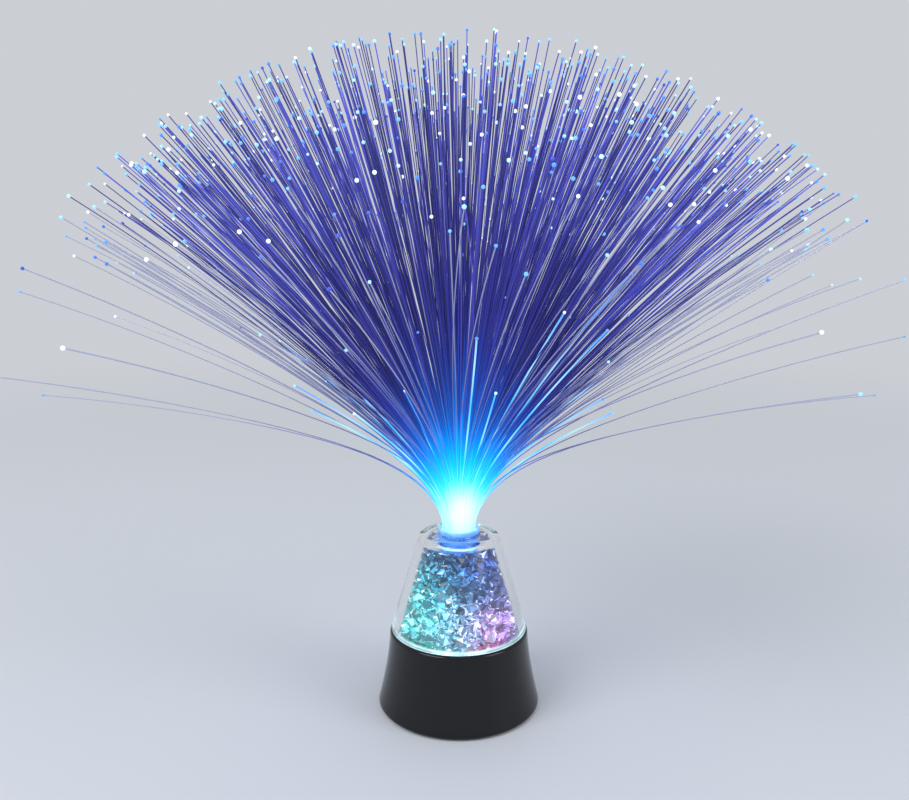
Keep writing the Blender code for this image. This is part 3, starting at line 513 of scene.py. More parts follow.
def fibre_finish():
    """Clear fibres, with the light they carry painted into their colour: white where they leave the collar,
    then azure, and indigo further out.
    """
    tree = Tree("fibre")
    share = tree.span(distance_from_core(tree), 0, fibre_light_reach)
    light = tree.ramp(
        share,
        [
            (0.000, (0.70, 0.80, 0.86)),
            (0.050, (0.58, 0.77, 0.86)),
            (0.072, (0.28, 0.68, 0.88)),
            (0.100, (0.05, 0.60, 0.92)),
            (0.135, (0.004, 0.47, 0.86)),
            (0.172, (0.002, 0.34, 0.75)),
            (0.215, (0.004, 0.18, 0.53)),
            (0.250, (0.010, 0.10, 0.41)),
            (0.320, (0.020, 0.055, 0.32)),
            (0.400, (0.026, 0.034, 0.24)),
            (0.520, (0.030, 0.028, 0.21)),
            (0.650, (0.032, 0.032, 0.23)),
            (0.900, (0.055, 0.060, 0.36)),
        ],
    )
    tone = tree.attribute("tone")
    grey = tree.add("ShaderNodeCombineColor")
    for socket in grey.inputs[:3]:
        tree.link(tree.span(tone, 0, 1, 0.42, 1.75), socket)
    far = tree.span(share, 0.14, 0.40)
    streaked = tree.mix(far, light, tree.mix(1.0, light, grey.outputs["Color"], "MULTIPLY"))
    # Painted light: the carried light, by the distance from the core, as base colour and as emission
    tree.colour(streaked)
    tree.link(streaked, tree.shader.inputs["Emission Color"])
    tree.link(tree.span(share, 0.20, 0.50, 0.80, 0.50), tree.shader.inputs["Emission Strength"])
    tree.set(Roughness=0.22, IOR=1.49, Specular_IOR_Level=0.3)
    return tree.material


def clear_fibre_finish():
    """The few fibres beyond the lit bundle: clear, lit only near the collar, and bright at their tips."""
    tree = Tree("clear_fibre")
    share = tree.span(distance_from_core(tree), 0, clear_light_reach)
    body = tree.ramp(
        share,
        [
            (0.00, (0.84, 0.92, 0.97)),
            (0.06, (0.50, 0.80, 0.95)),
            (0.12, (0.03, 0.55, 0.92)),
            (0.22, (0.02, 0.26, 0.70)),
            (0.36, (0.14, 0.18, 0.55)),
            (0.70, (0.44, 0.47, 0.72)),
            (1.00, (0.56, 0.59, 0.78)),
        ],
    )
    tree.colour(body)
    tree.link(body, tree.shader.inputs["Emission Color"])
    tree.link(tree.span(share, 0.1, 0.45, 0.8, 0.05), tree.shader.inputs["Emission Strength"])
    tree.link(tree.span(share, 0.20, 0.60, 0.0, 0.35), tree.shader.inputs["Transmission Weight"])
    tree.roughness(tree.span(tree.attribute("tone"), 0, 1, 0.08, 0.22))
    tree.set(IOR=1.49)
    return tree.material


def bright_fibre_finish():
    """The few short fibres that catch more light: azure, and pale in places along their length."""
    tree = Tree("bright_fibre")
    share = tree.span(distance_from_core(tree), 0, bright_light_reach)
    light = tree.ramp(
        share,
        [
            (0.00, (0.84, 0.92, 0.97)),
            (0.07, (0.30, 0.78, 1.00)),
            (0.13, (0.03, 0.58, 1.00)),
            (0.20, (0.28, 0.74, 1.00)),
            (0.28, (0.05, 0.50, 1.00)),
            (0.38, (0.35, 0.70, 1.00)),
            (0.50, (0.10, 0.38, 0.95)),
            (1.00, (0.05, 0.20, 0.70)),
        ],
    )
    tree.colour(light)
    tree.link(light, tree.shader.inputs["Emission Color"])
    tree.link(tree.span(tree.attribute("tone"), 0, 1, 0.55, 0.95), tree.shader.inputs["Emission Strength"])
    tree.set(Roughness=0.2, IOR=1.49, Specular_IOR_Level=0.3)
    return tree.material


def tip_finish():
    """The cut ends, where the light leaves the fibres."""
    tree = Tree("fibre_tip")
    tone = tree.attribute("tone")
    light = tree.ramp(
        tone,
        [
            (0.00, (0.05, 0.10, 0.70)),
            (0.30, (0.08, 0.30, 1.00)),
            (0.60, (0.18, 0.55, 1.00)),
            (0.85, (0.45, 0.80, 1.00)),
            (1.00, (0.88, 0.96, 1.00)),
        ],
    )
    tree.colour(light)
    tree.link(light, tree.shader.inputs["Emission Color"])
    tree.link(tree.span(tone, 0, 1, 0.30, 0.75), tree.shader.inputs["Emission Strength"])
    tree.set(Roughness=0.15, IOR=1.49)
    return tree.material


def collar_finish():
    """The translucent collar, lit blue-white by the bundle inside it."""
    tree = Tree("collar")
    split = tree.add("ShaderNodeSeparateXYZ")
    tree.link(tree.place(), split.inputs[0])
    share = tree.span(split.outputs["Z"], collar_foot, collar_mouth)
    light = tree.ramp(
        share,
        [
            (0.00, (0.10, 0.35, 0.85)),
            (0.45, (0.14, 0.45, 0.95)),
            (0.75, (0.08, 0.30, 0.85)),
            (0.90, (0.16, 0.45, 0.95)),
            (1.00, (0.30, 0.62, 1.00)),
        ],
    )
    cloudy = tree.span(tree.noise(180, 3), 0.3, 0.7, 0.15, 0.50)
    tree.colour(light)
    tree.link(light, tree.shader.inputs["Emission Color"])
    tree.link(cloudy, tree.shader.inputs["Emission Strength"])
    tree.roughness(tree.span(tree.noise(300, 3), 0.3, 0.7, 0.14, 0.26))
    tree.bump(tree.noise(500, 2), 0.1, 0.00004)
    tree.set(IOR=1.49, Transmission_Weight=0.25)
    return tree.material


def tray_finish():
    """The clear tray under the crystals, which scatters the lamps' colours like them, green on the left."""
    tree = Tree("lit_tray")
    split = tree.add("ShaderNodeSeparateXYZ")
    tree.link(tree.place(), split.inputs[0])
    share = tree.span(split.outputs["X"], -tray_high.x, tray_high.x)
    light = tree.ramp(
        share,
        [
            (0.00, (0.02, 0.30, 0.28)),
            (0.25, (0.02, 0.50, 0.36)),
            (0.50, (0.30, 0.62, 0.75)),
            (0.70, (0.80, 0.14, 0.36)),
            (0.82, (0.50, 0.12, 0.45)),
            (1.00, (0.12, 0.10, 0.50)),
        ],
    )
    cells = tree.add("ShaderNodeTexVoronoi")
    cells.inputs["Scale"].default_value = 620
    tree.link(tree.place(), cells.inputs["Vector"])
    chips = tree.add("ShaderNodeSeparateColor")
    tree.link(cells.outputs["Color"], chips.inputs[0])
    sparkle = tree.span(chips.outputs[0], 0.82, 0.95)
    seen = tree.mix(tree.span(chips.outputs[1], 0, 1, 0.15, 1.0), (0.005, 0.02, 0.06), light)
    facets = tree.mix(sparkle, seen, (0.70, 0.92, 1.0))
    tree.colour(facets)
    tree.link(facets, tree.shader.inputs["Emission Color"])
    tree.link(tree.span(chips.outputs[2], 0, 1, 0.10, 0.80), tree.shader.inputs["Emission Strength"])
    tree.roughness(tree.span(tree.noise(160, 3), 0.3, 0.7, 0.12, 0.3))
    tree.set(IOR=1.49, Transmission_Weight=0.15)
    return tree.material


def light_tube_finish():
    """The clear tube that carries the centre lamp's light up to the fibres, and glows on its way."""
    tree = Tree("lit_tube")
    light = tree.mix(tree.span(tree.noise(500, 3), 0.35, 0.65), (0.05, 0.20, 0.48), (0.36, 0.66, 0.86))
    tree.colour(light)
    tree.link(light, tree.shader.inputs["Emission Color"])
    tree.roughness(tree.span(tree.noise(160, 3), 0.3, 0.7, 0.06, 0.16))
    tree.set(IOR=1.49, Emission_Strength=0.7, Transmission_Weight=0.15)
    return tree.material


def lens_finish(name, colour):
    """A lit lamp's clear lens, which glows in its colour."""
    tree = Tree(name)
    tree.colour(tree.mix(tree.noise(200, 2), colour, tuple(min(1, c + 0.08) for c in colour)))
    tree.set(Emission_Color=(*colour, 1), Emission_Strength=0.8, Roughness=0.12, Transmission_Weight=0.4)
    return tree.material


# Pieces


def add_object(name, mesh, material, smooth_angle=crease_angle):
    """A piece made from a mesh, smooth but for its sharp edges. A smooth_angle of 0 leaves it faceted."""
    if smooth_angle:
        mesh.shade_smooth()
        mesh.set_sharp_from_angle(angle=math.radians(smooth_angle))
    mesh.materials.append(material)
    obj = bpy.data.objects.new(name, mesh)
    bpy.context.scene.collection.objects.link(obj)
    return obj


def turned_mesh(name, profile, steps=turn_steps):
    """A closed solid of revolution of a (radius, height) outline. Points on the axis stay single."""
    bm = bmesh.new()
    rings = []
    for radius, height in profile:
        if radius == 0:
            rings.append([bm.verts.new((0, 0, height))] * steps)
            continue
        angles = [2 * math.pi * step / steps for step in range(steps)]
        rings.append([bm.verts.new((radius * math.cos(a), radius * math.sin(a), height)) for a in angles])
    for index, ring in enumerate(rings):
        following = rings[(index + 1) % len(rings)]
        for step in range(steps):
            after = (step + 1) % steps
            corners = list(dict.fromkeys([ring[step], ring[after], following[after], following[step]]))
            if len(corners) > 2:
                bm.faces.new(corners)
    bmesh.ops.recalc_face_normals(bm, faces=bm.faces)
    mesh = bpy.data.meshes.new(name)
    bm.to_mesh(mesh)
    bm.free()
    return mesh


def block_tool(name, low, high):
    """A hidden box that a Boolean takes away."""
    bm = bmesh.new()
    low, high = Vector(low), Vector(high)
    sides = Matrix.Diagonal((*(high - low), 1))
    bmesh.ops.create_cube(bm, size=1, matrix=Matrix.Translation((low + high) / 2) @ sides)
    mesh = bpy.data.meshes.new(name)
    bm.to_mesh(mesh)
    bm.free()
    tool = bpy.data.objects.new(name, mesh)
    bpy.context.scene.collection.objects.link(tool)
    return tool


def cut(obj, tool):
    """Takes a tool away from a piece, for good, and removes the tool."""
    modifier = obj.modifiers.new("cut", "BOOLEAN")
    modifier.operation = "DIFFERENCE"
    modifier.solver = "EXACT"
    modifier.object = tool
    bpy.context.view_layer.update()
    graph = bpy.context.evaluated_depsgraph_get()
    mesh = bpy.data.meshes.new_from_object(obj.evaluated_get(graph))
    obj.modifiers.clear()
    obj.data = mesh
    bpy.data.objects.remove(tool)


def add_base_shell():
    """The flared shell, with its rounded foot, its shoulder, the deck's window and the switch's slot."""
    flare_foot = rim_height + foot_round
    flare_top = base_height - shoulder_round
    steps = flare_steps
    heights = [flare_foot + (flare_top - flare_foot) * step / steps for step in range(steps + 1)]
    foot_centre = base_radius_at(flare_foot) - foot_round
    deck_low = base_height - deck_thickness
    inner = [deck_low - (deck_low - rim_height) * step / steps for step in range(steps + 1)]
    profile = arc(foot_centre, flare_foot, foot_round, -90, 0)[:-1]
    profile += [(base_radius_at(height), height) for height in heights[:-1]]
    profile += arc(base_top_radius - shoulder_round, flare_top, shoulder_round, 0, 90)
    profile += [
        (window_radius + window_edge, base_height),
        (window_radius, base_height - window_edge),
        (window_radius, deck_low),
    ]
    profile += [(base_radius_at(height) - base_wall, height) for height in inner]
    shell = add_object("base_shell", turned_mesh("base_shell", profile), gloss_black_finish())
    slot_side = knob_high.x - slot_inset
    slot_middle = (knob_low.z + knob_high.z) / 2
    slot_low = (-slot_side, base_top_radius - slot_depth, slot_middle - slot_half_height)
    slot_high = (slot_side, base_top_radius + base_flare, slot_middle + slot_half_height)
    cut(shell, block_tool("slot_tool", slot_low, slot_high))
    shell.data.shade_smooth()
    shell.data.set_sharp_from_angle(angle=math.radians(crease_angle))
    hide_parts("base_housing")
    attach(shell, body_of_lamp)


def add_clear_cone():
    """The clear cone: thick straight walls, a round shoulder, and the neck round the collar."""
    slope = math.atan2(cone_foot_radius - cone_top_radius, cone_top - cone_foot)
    shoulder_height = cone_top - cone_shoulder_round
    round_start = shoulder_height + cone_shoulder_round * math.sin(slope)
    shoulder_radius = cone_radius_at(round_start) - cone_shoulder_round * math.cos(slope)
    inner_top = cone_top - cone_top_thickness
    inner_corner = cone_radius_at(inner_top - cone_inner_round) - cone_wall
    edge = cone_edge_round
    steps = cone_side_steps
    side = [cone_foot + edge + (round_start - cone_foot - edge) * step / steps for step in range(steps)]
    profile = [(cone_foot_radius - cone_wall, cone_foot), (cone_foot_radius - edge, cone_foot)]
    profile += [(cone_radius_at(height), height) for height in side]
    tilt = math.degrees(slope)
    profile += arc(shoulder_radius, shoulder_height, cone_shoulder_round, tilt, 90, cone_shoulder_steps)
    profile += arc(neck_radius + edge, cone_top - edge, edge, 90, 180, cone_edge_steps)
    profile += [
        (neck_radius, inner_top - neck_reach),
        (neck_radius + neck_wall, inner_top - neck_reach),
        (neck_radius + neck_wall, inner_top),
    ]
    inner_centre = inner_corner - cone_inner_round
    inner_height = inner_top - cone_inner_round
    profile += arc(inner_centre, inner_height, cone_inner_round, 90, tilt, cone_inner_steps)
    cone = add_object("clear_cone", turned_mesh("clear_cone", profile), clear_acrylic_finish())
    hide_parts("crystal_cone")
    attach(cone, body_of_lamp)


def lamp_centre(node):
    """The place on the crystals' floor that a lamp lights from below."""
    low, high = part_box(node)
    return np.array([(low.x + high.x) / 2, (low.y + high.y) / 2, crystal_floor])


def crystal_places():
    """Centres and radii for the chips, large ones first, packed by chance into the room round the tube."""
    chance = np.random.default_rng(crystal_seed)
    centres = np.zeros((0, 3))
    radii = np.zeros(0)
    for radius, tries in crystal_sizes:
        lowest = crystal_floor + radius * crystal_press
        on_floor = chance.random(tries) < crystal_floor_share
        height = np.where(on_floor, lowest, chance.uniform(lowest, crystal_top, tries))
        outer = hollow_radius_at(height) - crystal_wall_gap - radius * crystal_press
        against_wall = chance.random(tries) < crystal_wall_share
        reach = np.where(against_wall, outer, chance.uniform(crystal_bore + radius, outer))
        angle = chance.uniform(0, 2 * math.pi, tries)
        points = np.column_stack((reach * np.cos(angle), reach * np.sin(angle), height))
        for point in points:
            apart = np.linalg.norm(centres - point, axis=1)
            if (apart > crystal_crowding * (radii + radius)).all():
                centres = np.vstack((centres, point))
                radii = np.append(radii, radius)
    return centres, radii


def press_in(corners):
    """Moves a chip's corners into the room between the floor, the wall, the tube and the cone's top."""
    corners[:, 2] = np.clip(corners[:, 2], crystal_floor, crystal_top + crystal_headroom)
    reach = np.linalg.norm(corners[:, :2], axis=1)
    held = np.clip(reach, crystal_bore, hollow_radius_at(corners[:, 2]) - crystal_wall_gap)
    corners[:, :2] *= (held / reach)[:, None]
    return corners


def crystal_light(point, lamps):
    """The colour that reaches a place among the crystals from the lamps under them."""
    rise = (point[2] - crystal_floor) / (crystal_top - crystal_floor)
    light = np.array(upper_light) * (1.0 - upper_light_fall * rise)
    for place, (colour, wide, tall) in lamps:
        aside = math.hypot(*(point - place)[:2]) / wide
        above = (point[2] - place[2]) / tall
        light += math.exp(-(aside**2) - above**2) * np.array(colour)
    return light


def add_crystals():
    """Separate broken chips, more than a thousand. Each face takes its own painted brightness of the lamps'
    light: a painted sparkle, and now and then a painted glint.
    """
    lamps = [(lamp_centre(f"led_{name}"), lamp_glows[name]) for name in ("green", "red", "blue")]
    lamps.append((np.array([0, -centre_light_forward, crystal_floor]), lamp_glows["centre"]))
    chance = np.random.default_rng(crystal_seed + 1)
    centres, radii = crystal_places()
    bm = bmesh.new()
    glow = bm.faces.layers.float_color.new("glow")
    for centre, radius in zip(centres, radii):
        corners = chance.normal(size=(chance.integers(*chip_corners), 3))
        corners /= np.linalg.norm(corners, axis=1)[:, None]
        corners *= chance.uniform(*chip_proportions)
        turn = np.array(Matrix.Rotation(chance.uniform(0, 2 * math.pi), 3, Vector(chance.normal(size=3))))
        corners = press_in(corners @ turn.T * radius + centre)
        verts = [bm.verts.new(corner) for corner in corners]
        hull = bmesh.ops.convex_hull(bm, input=verts)
        spare = hull["geom_interior"] + hull["geom_unused"]
        loose = list(dict.fromkeys(item for item in spare if isinstance(item, bmesh.types.BMVert)))
        if loose:
            bmesh.ops.delete(bm, geom=loose, context="VERTS")
        kept = [item for item in hull["geom"] if isinstance(item, bmesh.types.BMVert)]
        faces = {face for vert in kept for face in vert.link_faces}
        light = crystal_light(centre, lamps)
        # Painted light: each chip's share of the lamps' light and its pale tint, then each face's painted
        # sparkle and painted glints
        own = max(dimmest_chip_light, chance.lognormal(*chip_light_tone))
        white = chance.uniform(0.0, palest_chip_light)
        for face in sorted(faces, key=lambda face: tuple(face.calc_center_median())):
            facet = max(dimmest_facet_sparkle, chance.lognormal(*facet_sparkle_tone))
            glint = chance.random() < glint_share
            pale = white + (glint_white if glint else 0.0)
            bright = light.max() * own * facet * (glint_gain if glint else 1.0)
            colour = light / light.max() * (1 - pale) + pale
            face[glow] = (*np.clip(colour * bright, darkest_colour, 1), 1)
    bmesh.ops.recalc_face_normals(bm, faces=bm.faces)
    mesh = bpy.data.meshes.new("crystal_chips")
    bm.to_mesh(mesh)
    bm.free()
    print("crystal chips", len(radii), "faces", len(mesh.polygons))
    chips = add_object("crystal_chips", mesh, crystal_finish(), smooth_angle=0)
    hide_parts("crystal_bed")
    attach(chips, body_of_lamp)


def add_collar():
    """The collar: a flange on the cone, a body in its neck, and a stepped tail towards the tube."""
    body_foot = collar_seat - collar_body_height
    step_foot = body_foot - collar_step_height
    profile = [
        (collar_tail_bore_radius, collar_foot),
        (collar_tail_radius, collar_foot),
        (collar_tail_radius, step_foot),
        (collar_step_radius, step_foot),
        (collar_step_radius, body_foot),
        (collar_body_radius, body_foot),
        (collar_body_radius, collar_seat),
        (collar_flange_radius, collar_seat),
    ]
    edge = collar_round
    profile += arc(collar_flange_radius - edge, collar_mouth - edge, edge, 0, 90, collar_edge_steps)
    profile += arc(collar_bore_radius + edge, collar_mouth - edge, edge, 90, 180, collar_edge_steps)
    funnel_top = potting_top - funnel_drop
    profile += [(collar_bore_radius, funnel_top), (collar_tail_bore_radius, funnel_top - funnel_height)]
    mesh = turned_mesh("fibre_collar", profile, collar_turn_steps)
    collar = add_object("fibre_collar", mesh, collar_finish())
    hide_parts("fibre_ferrule")
    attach(collar, body_of_spray)


def fibre_spread(root_share):
    """The angle that a fibre leans to: steady across the bundle, and wider for the few at its edge."""
    return spread_angle * root_share + edge_spread_angle * root_share**edge_spread_power


def steady(spread, azimuth):
    """Holds the widest fibres higher, but for those that lean to the sides or straight back."""
    if math.sin(azimuth) > straight_back_share:
        return spread
    return min(spread, front_limit + (side_limit - front_limit) * math.cos(azimuth) ** 2)


def strand_line(root_share, azimuth, length, spread, swing=0.0, droop=droop_angle, bend=bend_length):
    """A fibre's points, from its root in the resin to its tip. It leaves upright, bends out and droops.

    Swing turns the tip about the lamp's axis.
    """
    step = length / path_steps
    runs = (np.arange(path_steps) + 0.5) * step
    lean = spread * (1 - np.exp(-runs / bend)) + droop * math.sin(spread) * (runs / fibre_length) ** 2
    radius = np.concatenate(([0], np.cumsum(np.sin(lean) * step)))
    height = np.concatenate(([0], np.cumsum(np.cos(lean) * step)))
    shares = (np.arange(fibre_knots + 1) / fibre_knots) ** knot_power
    radius = np.interp(shares * path_steps, np.arange(path_steps + 1), radius)
    height = np.interp(shares * path_steps, np.arange(path_steps + 1), height)
    turned = azimuth + swing * shares**swing_power
    root = root_share * bundle_radius
    x = root * math.cos(azimuth) + radius * np.cos(turned)
    y = root * math.sin(azimuth) + radius * np.sin(turned)
    return np.column_stack((x, y, potting_top + height))


def stay_in_box(line):
    """Cuts a fibre short where it would leave the spray's box."""
    margin = tip_radius * box_margin
    low, high = np.array(spray_low) + margin, np.array(spray_high) - margin
    low[2] = collar_foot
    inside = ((line >= low) & (line <= high)).all(axis=1)
    if inside.all():
        return line
    last = int(np.argmin(inside))
    step = line[last] - line[last - 1]
    room = np.where(step > 0, high - line[last - 1], line[last - 1] - low)
    share = min(room / np.maximum(np.abs(step), 1e-9))
    return np.vstack((line[:last], line[last - 1] + step * share))


def tube_arrays(lines, radius, sides=fibre_sides):
    """Vertices, faces and each vertex's line number for thin closed tubes along lines.

    A ring's first side is square to the fibre and to a slanted guide that no fibre runs along.
    """
    verts, faces, owner = [], [], []
    start = 0
    angles = np.arange(sides) * 2 * math.pi / sides
    for number, line in enumerate(lines):
        along = np.gradient(line, axis=0)
        along /= np.linalg.norm(along, axis=1)[:, None]
        side = np.cross(along, np.array(ring_guide) + along[::-1] * ring_guide_turn)
        side /= np.linalg.norm(side, axis=1)[:, None]
        up = np.cross(along, side)
        ring = side[:, None] * np.cos(angles)[:, None] + up[:, None] * np.sin(angles)[:, None]
        points = line[:, None] + ring * radius
        verts.append(points.reshape(-1, 3))
        count = len(line)
        owner.append(np.full(count * sides, number))
        for row in range(count - 1):
            low, high = start + row * sides, start + (row + 1) * sides
            for index in range(sides):
                after = (index + 1) % sides
                faces.append((low + index, low + after, high + after, high + index))
        faces.append(tuple(start + index for index in reversed(range(sides))))
        last = start + (count - 1) * sides
        faces.append(tuple(last + index for index in range(sides)))
        start += count * sides
    return np.concatenate(verts), faces, np.concatenate(owner)


def add_strands(name, lines, tones, material, radius):
    """A bunch of fibres as one piece. Each fibre keeps a tone, which varies its colour."""
    verts, faces, owner = tube_arrays(lines, radius)
    mesh = bpy.data.meshes.new(name)
    mesh.from_pydata(verts.tolist(), [], faces)
    tone = mesh.attributes.new("tone", "FLOAT", "POINT")
    tone.data.foreach_set("value", np.array(tones, np.float32)[owner])
    strands = add_object(name, mesh, material, fibre_crease_angle)
    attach(strands, body_of_spray)
    return strands


def add_tips(name, places, tones, sizes, material):
    """A small bright bead on each cut end."""
    bead = bmesh.new()
    bmesh.ops.create_icosphere(bead, subdivisions=2, radius=1)
    unit = np.array([vert.co for vert in bead.verts])
    triangles = np.array([[vert.index for vert in face.verts] for face in bead.faces])
    bead.free()
    verts = (np.array(places)[:, None] + unit[None] * np.array(sizes)[:, None, None]).reshape(-1, 3)
    faces = (triangles[None] + (np.arange(len(places)) * len(unit))[:, None, None]).reshape(-1, 3)
    mesh = bpy.data.meshes.new(name)
    mesh.from_pydata(verts.tolist(), [], faces.tolist())
    tone = mesh.attributes.new("tone", "FLOAT", "POINT")
    tone.data.foreach_set("value", np.repeat(np.array(tones, np.float32), len(unit)))
    tips = add_object(name, mesh, material, fibre_crease_angle)
    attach(tips, body_of_spray)
    return tips


def frame_fibre_lines():
    """The fibres of the frame's spray, each with a twin half a turn round: the bundle's, and the widest."""
    chance = random.Random(frame_fibre_seed)
    pairs = frame_fibres // 2
    lines = []
    wide = []
    for pair in range(pairs):
        root_share = math.sqrt((pair + 0.5) / pairs)
        length = fibre_length * (1 - length_scatter * chance.random() ** length_power)
        if pair % short_fibre_every == short_fibre_every - 1:
            length = fibre_length * short_length
        for half_turn in (0, math.pi):
            azimuth = (pairs - 1 - pair) * golden_angle / 2 + half_turn
            spread = steady(fibre_spread(root_share), azimuth)
            line = strand_line(root_share, azimuth, length, spread)
            (wide if spread > clear_limit else lines).append(line)
    return lines, wide


def extra_fibre_lines():
    """Uneven fibres that fill the room between those of the frame: the bundle's, and the widest."""
    chance = random.Random(extra_fibre_seed)
    lines = []
    wide = []
    for index in range(extra_fibres):
        root_share = math.sqrt((index + 0.5) / extra_fibres)
        azimuth = index * golden_angle + chance.gauss(0, azimuth_scatter)
        spread = min(fibre_spread(root_share), edge_limit * chance.uniform(*edge_limit_scatter))
        spread *= 1 + chance.gauss(0, spread_scatter)
        length = fibre_length * (1 - length_scatter * chance.random() ** extra_length_power)
        if chance.random() < shorter_share:
            length *= chance.uniform(*shorter_lengths)
        droop = droop_angle * chance.uniform(*droop_scatter)
        bend = bend_length * chance.uniform(*bend_scatter)
        swing = chance.gauss(0, swing_scatter)
        line = strand_line(root_share, azimuth, length, spread, swing, droop, bend)
        (wide if spread > clear_limit else lines).append(line)
    return lines, wide


def add_bright_fibres():
    """The short fibres that arc out of the bundle's edge, brighter than the rest."""
    chance = random.Random(extra_fibre_seed + 2)
    lines = []
    droop = droop_angle * bright_droop
    for azimuth, spread, share in bright_fibres:
        azimuth, spread = math.radians(azimuth), math.radians(spread)
        length = fibre_length * share
        bend = bend_length * chance.uniform(*bright_bends)
        swing = chance.gauss(0, bright_swing_scatter)
        lines.append(strand_line(bright_root_share, azimuth, length, spread, swing, droop, bend))
    tones = [chance.random() for _ in lines]
    strands = add_strands("fibres_bright", lines, tones, bright_fibre_finish(), bright_fibre_radius)
    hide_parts("fibre_spray")
    return lines


def add_fibres():
    """The spray, in bunches, with a bright tip on each fibre."""
    chance = random.Random(extra_fibre_seed + 1)
    finish = fibre_finish()
    clear = clear_fibre_finish()
    even, edge = frame_fibre_lines()
    extra, extra_edge = extra_fibre_lines()
    middle = len(extra) // 2
    bunches = {
        "fibres_even": (even, finish, fibre_radius),
        "fibres_edge": (edge, clear, fibre_radius),
        "fibres_middle": (extra[:middle], finish, extra_fibre_radius),
        "fibres_outer": (extra[middle:], finish, extra_fibre_radius),
        "fibres_wide": (extra_edge, clear, extra_fibre_radius),
    }
    places = []
    for name, (lines, material, radius) in bunches.items():
        lines = [stay_in_box(line) for line in lines]
        tones = [chance.random() ** fibre_tone_power for _ in lines]
        strands = add_strands(name, lines, tones, material, radius)
        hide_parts("fibre_spray")
        places += [line[-1] for line in lines]
    places += [line[-1] for line in add_bright_fibres()]
    tones = [min(1, max(0, chance.gauss(*tip_tone))) for _ in places]
    sizes = [tip_radius * chance.uniform(*tip_sizes) for _ in places]
    add_tips("fibre_tips", places, tones, sizes, tip_finish())


def add_potting():
    """The resin in the mouth of the collar, lit from below."""
    radius = collar_bore_radius - resin_gap
    profile = [
        (0, potting_top - resin_depth),
        (radius, potting_top - resin_depth),
        (radius, potting_top - resin_edge_drop),
        (radius - resin_edge_width, potting_top),
        (0, potting_top + resin_crown),
    ]
    tree = Tree("lit_resin")
    tree.colour(tree.mix(tree.noise(400, 3), (0.80, 0.94, 1.0), (0.95, 0.98, 1.0)))
    tree.set(Emission_Color=(0.85, 0.95, 1.0, 1), Emission_Strength=0.9, Roughness=0.2)
    tree.bump(tree.noise(700, 2), 0.2, 0.00005)
    mesh = turned_mesh("potting_resin", profile, resin_turn_steps)
    resin = add_object("potting_resin", mesh, tree.material)
    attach(resin, body_of_spray)


def smooth_cad(node):
    """Joins a CAD node's facets and shades them smooth, with its corners left sharp."""
    weld = node.modifiers.new("weld", "WELD")
    weld.merge_threshold = weld_reach
    split = node.modifiers.new("corners", "EDGE_SPLIT")
    split.split_angle = math.radians(cad_crease_angle)
    for polygon in node.data.polygons:
        polygon.use_smooth = True


def dress_cad():
    """Gives every CAD node that still shows its own finish."""
    matt_black = plastic("matt_black").material
    steel = metal_finish("plated_steel", (0.60, 0.60, 0.58), (0.42, 0.41, 0.39))
    nickel = metal_finish("nickel", (0.72, 0.71, 0.67), (0.55, 0.53, 0.48))
    red = plastic("red_wire").material
    finishes = {
        "bottom_cover": matt_black,
        "battery_door": matt_black,
        "rubber_foot": plastic("rubber").material,
        "cover_screw": steel,
        "board_screw": steel,
        "battery_cell": jacket_finish(),
        "contact": nickel,
        "battery_spring": nickel,
        "switch": plastic("switch_plastic").material,
        "led_board": board_finish(),
        "controller_chip": plastic("chip").material,
        "wire_positive": red,
        "wire_switched": red,
        "wire_negative": plastic("black_wire").material,
        "crystal_tray": tray_finish(),
        "light_tube": light_tube_finish(),
        "led_centre": lens_finish("lens_white", (0.92, 0.96, 1.0)),
        "led_red": lens_finish("lens_red", (1.0, 0.10, 0.22)),
        "led_green": lens_finish("lens_green", (0.10, 1.0, 0.45)),
        "led_blue": lens_finish("lens_blue", (0.12, 0.28, 1.0)),
    }
    for name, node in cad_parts.items():
        found = [finish for start, finish in finishes.items() if name.startswith(start)]
        if not found or node.hide_render:
            continue
        node.data.materials.clear()
        node.data.materials.append(found[0])
        smooth_cad(node)


# Stage, lights and camera


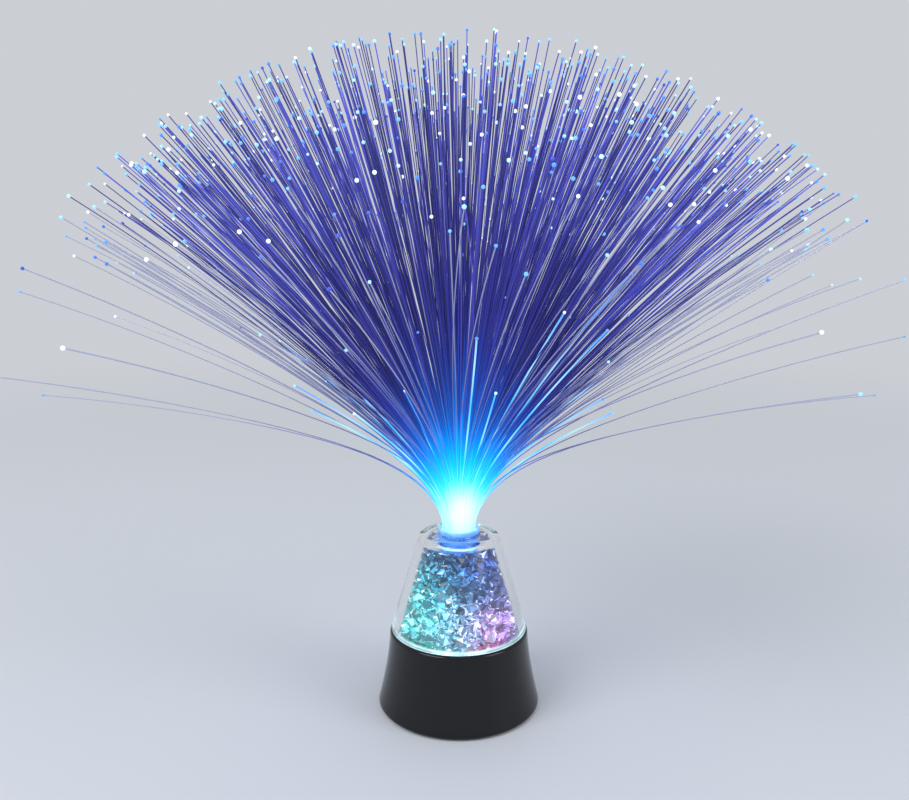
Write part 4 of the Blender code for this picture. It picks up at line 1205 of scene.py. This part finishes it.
def add_stage():
    """A pale floor that fades into an equally pale background."""
    bm = bmesh.new()
    bmesh.ops.create_circle(bm, cap_ends=True, segments=floor_steps, radius=floor_radius)
    mesh = bpy.data.meshes.new("floor")
    bm.to_mesh(mesh)
    bm.free()
    tree = Tree("pale_floor")
    tree.colour(tree.mix(tree.noise(6, 2), floor_tone, tuple(c * floor_mottle for c in floor_tone)))
    tree.set(Roughness=0.55, Specular_IOR_Level=0.25)
    far = tree.add("ShaderNodeEmission")
    far.inputs["Color"].default_value = (*background, 1)
    blend = tree.add("ShaderNodeMixShader")
    tree.link(tree.span(tree.length(tree.place()), *floor_fade, smooth=True), blend.inputs[0])
    tree.link(tree.shader.outputs[0], blend.inputs[1])
    tree.link(far.outputs[0], blend.inputs[2])
    tree.link(blend.outputs[0], tree.nodes["Material Output"].inputs["Surface"])
    floor = add_object("floor", mesh, tree.material, 0)


def add_world():
    """The pale background all round, which also lights the lamp softly."""
    world = bpy.data.worlds.new("studio")
    world.use_nodes = True
    world.node_tree.nodes["Background"].inputs["Color"].default_value = (*background, 1)
    bpy.context.scene.world = world


def add_softbox(name, place, size, power):
    """A rectangular light that faces the lamp."""
    light = bpy.data.lights.new(name, "AREA")
    light.shape = "RECTANGLE"
    light.size, light.size_y = size
    light.energy = power
    obj = bpy.data.objects.new(name, light)
    bpy.context.scene.collection.objects.link(obj)
    obj.location = place
    obj.rotation_mode = "QUATERNION"
    obj.rotation_quaternion = (Vector(light_target) - Vector(place)).to_track_quat("-Z", "Y")


def add_camera():
    """The photograph's view."""
    camera = bpy.data.objects.new("camera", bpy.data.cameras.new("camera"))
    bpy.context.scene.collection.objects.link(camera)
    camera.data.sensor_fit = "HORIZONTAL"
    camera.data.sensor_width = sensor_width
    camera.data.lens = sensor_width * photo_focal / photo_width
    camera.data.clip_start = near_clip
    camera.location = (camera_side, -camera_distance, camera_height)
    camera.rotation_euler = (math.pi / 2 - camera_pitch, 0, 0)
    bpy.context.scene.camera = camera


add_base_shell()
add_clear_cone()
add_crystals()
add_collar()
add_potting()
add_fibres()
dress_cad()
add_stage()
add_world()
for softbox, (place, size, power) in softboxes.items():
    add_softbox(softbox, place, size, power)
add_camera()
bpy.context.scene.view_settings.view_transform = "Standard"
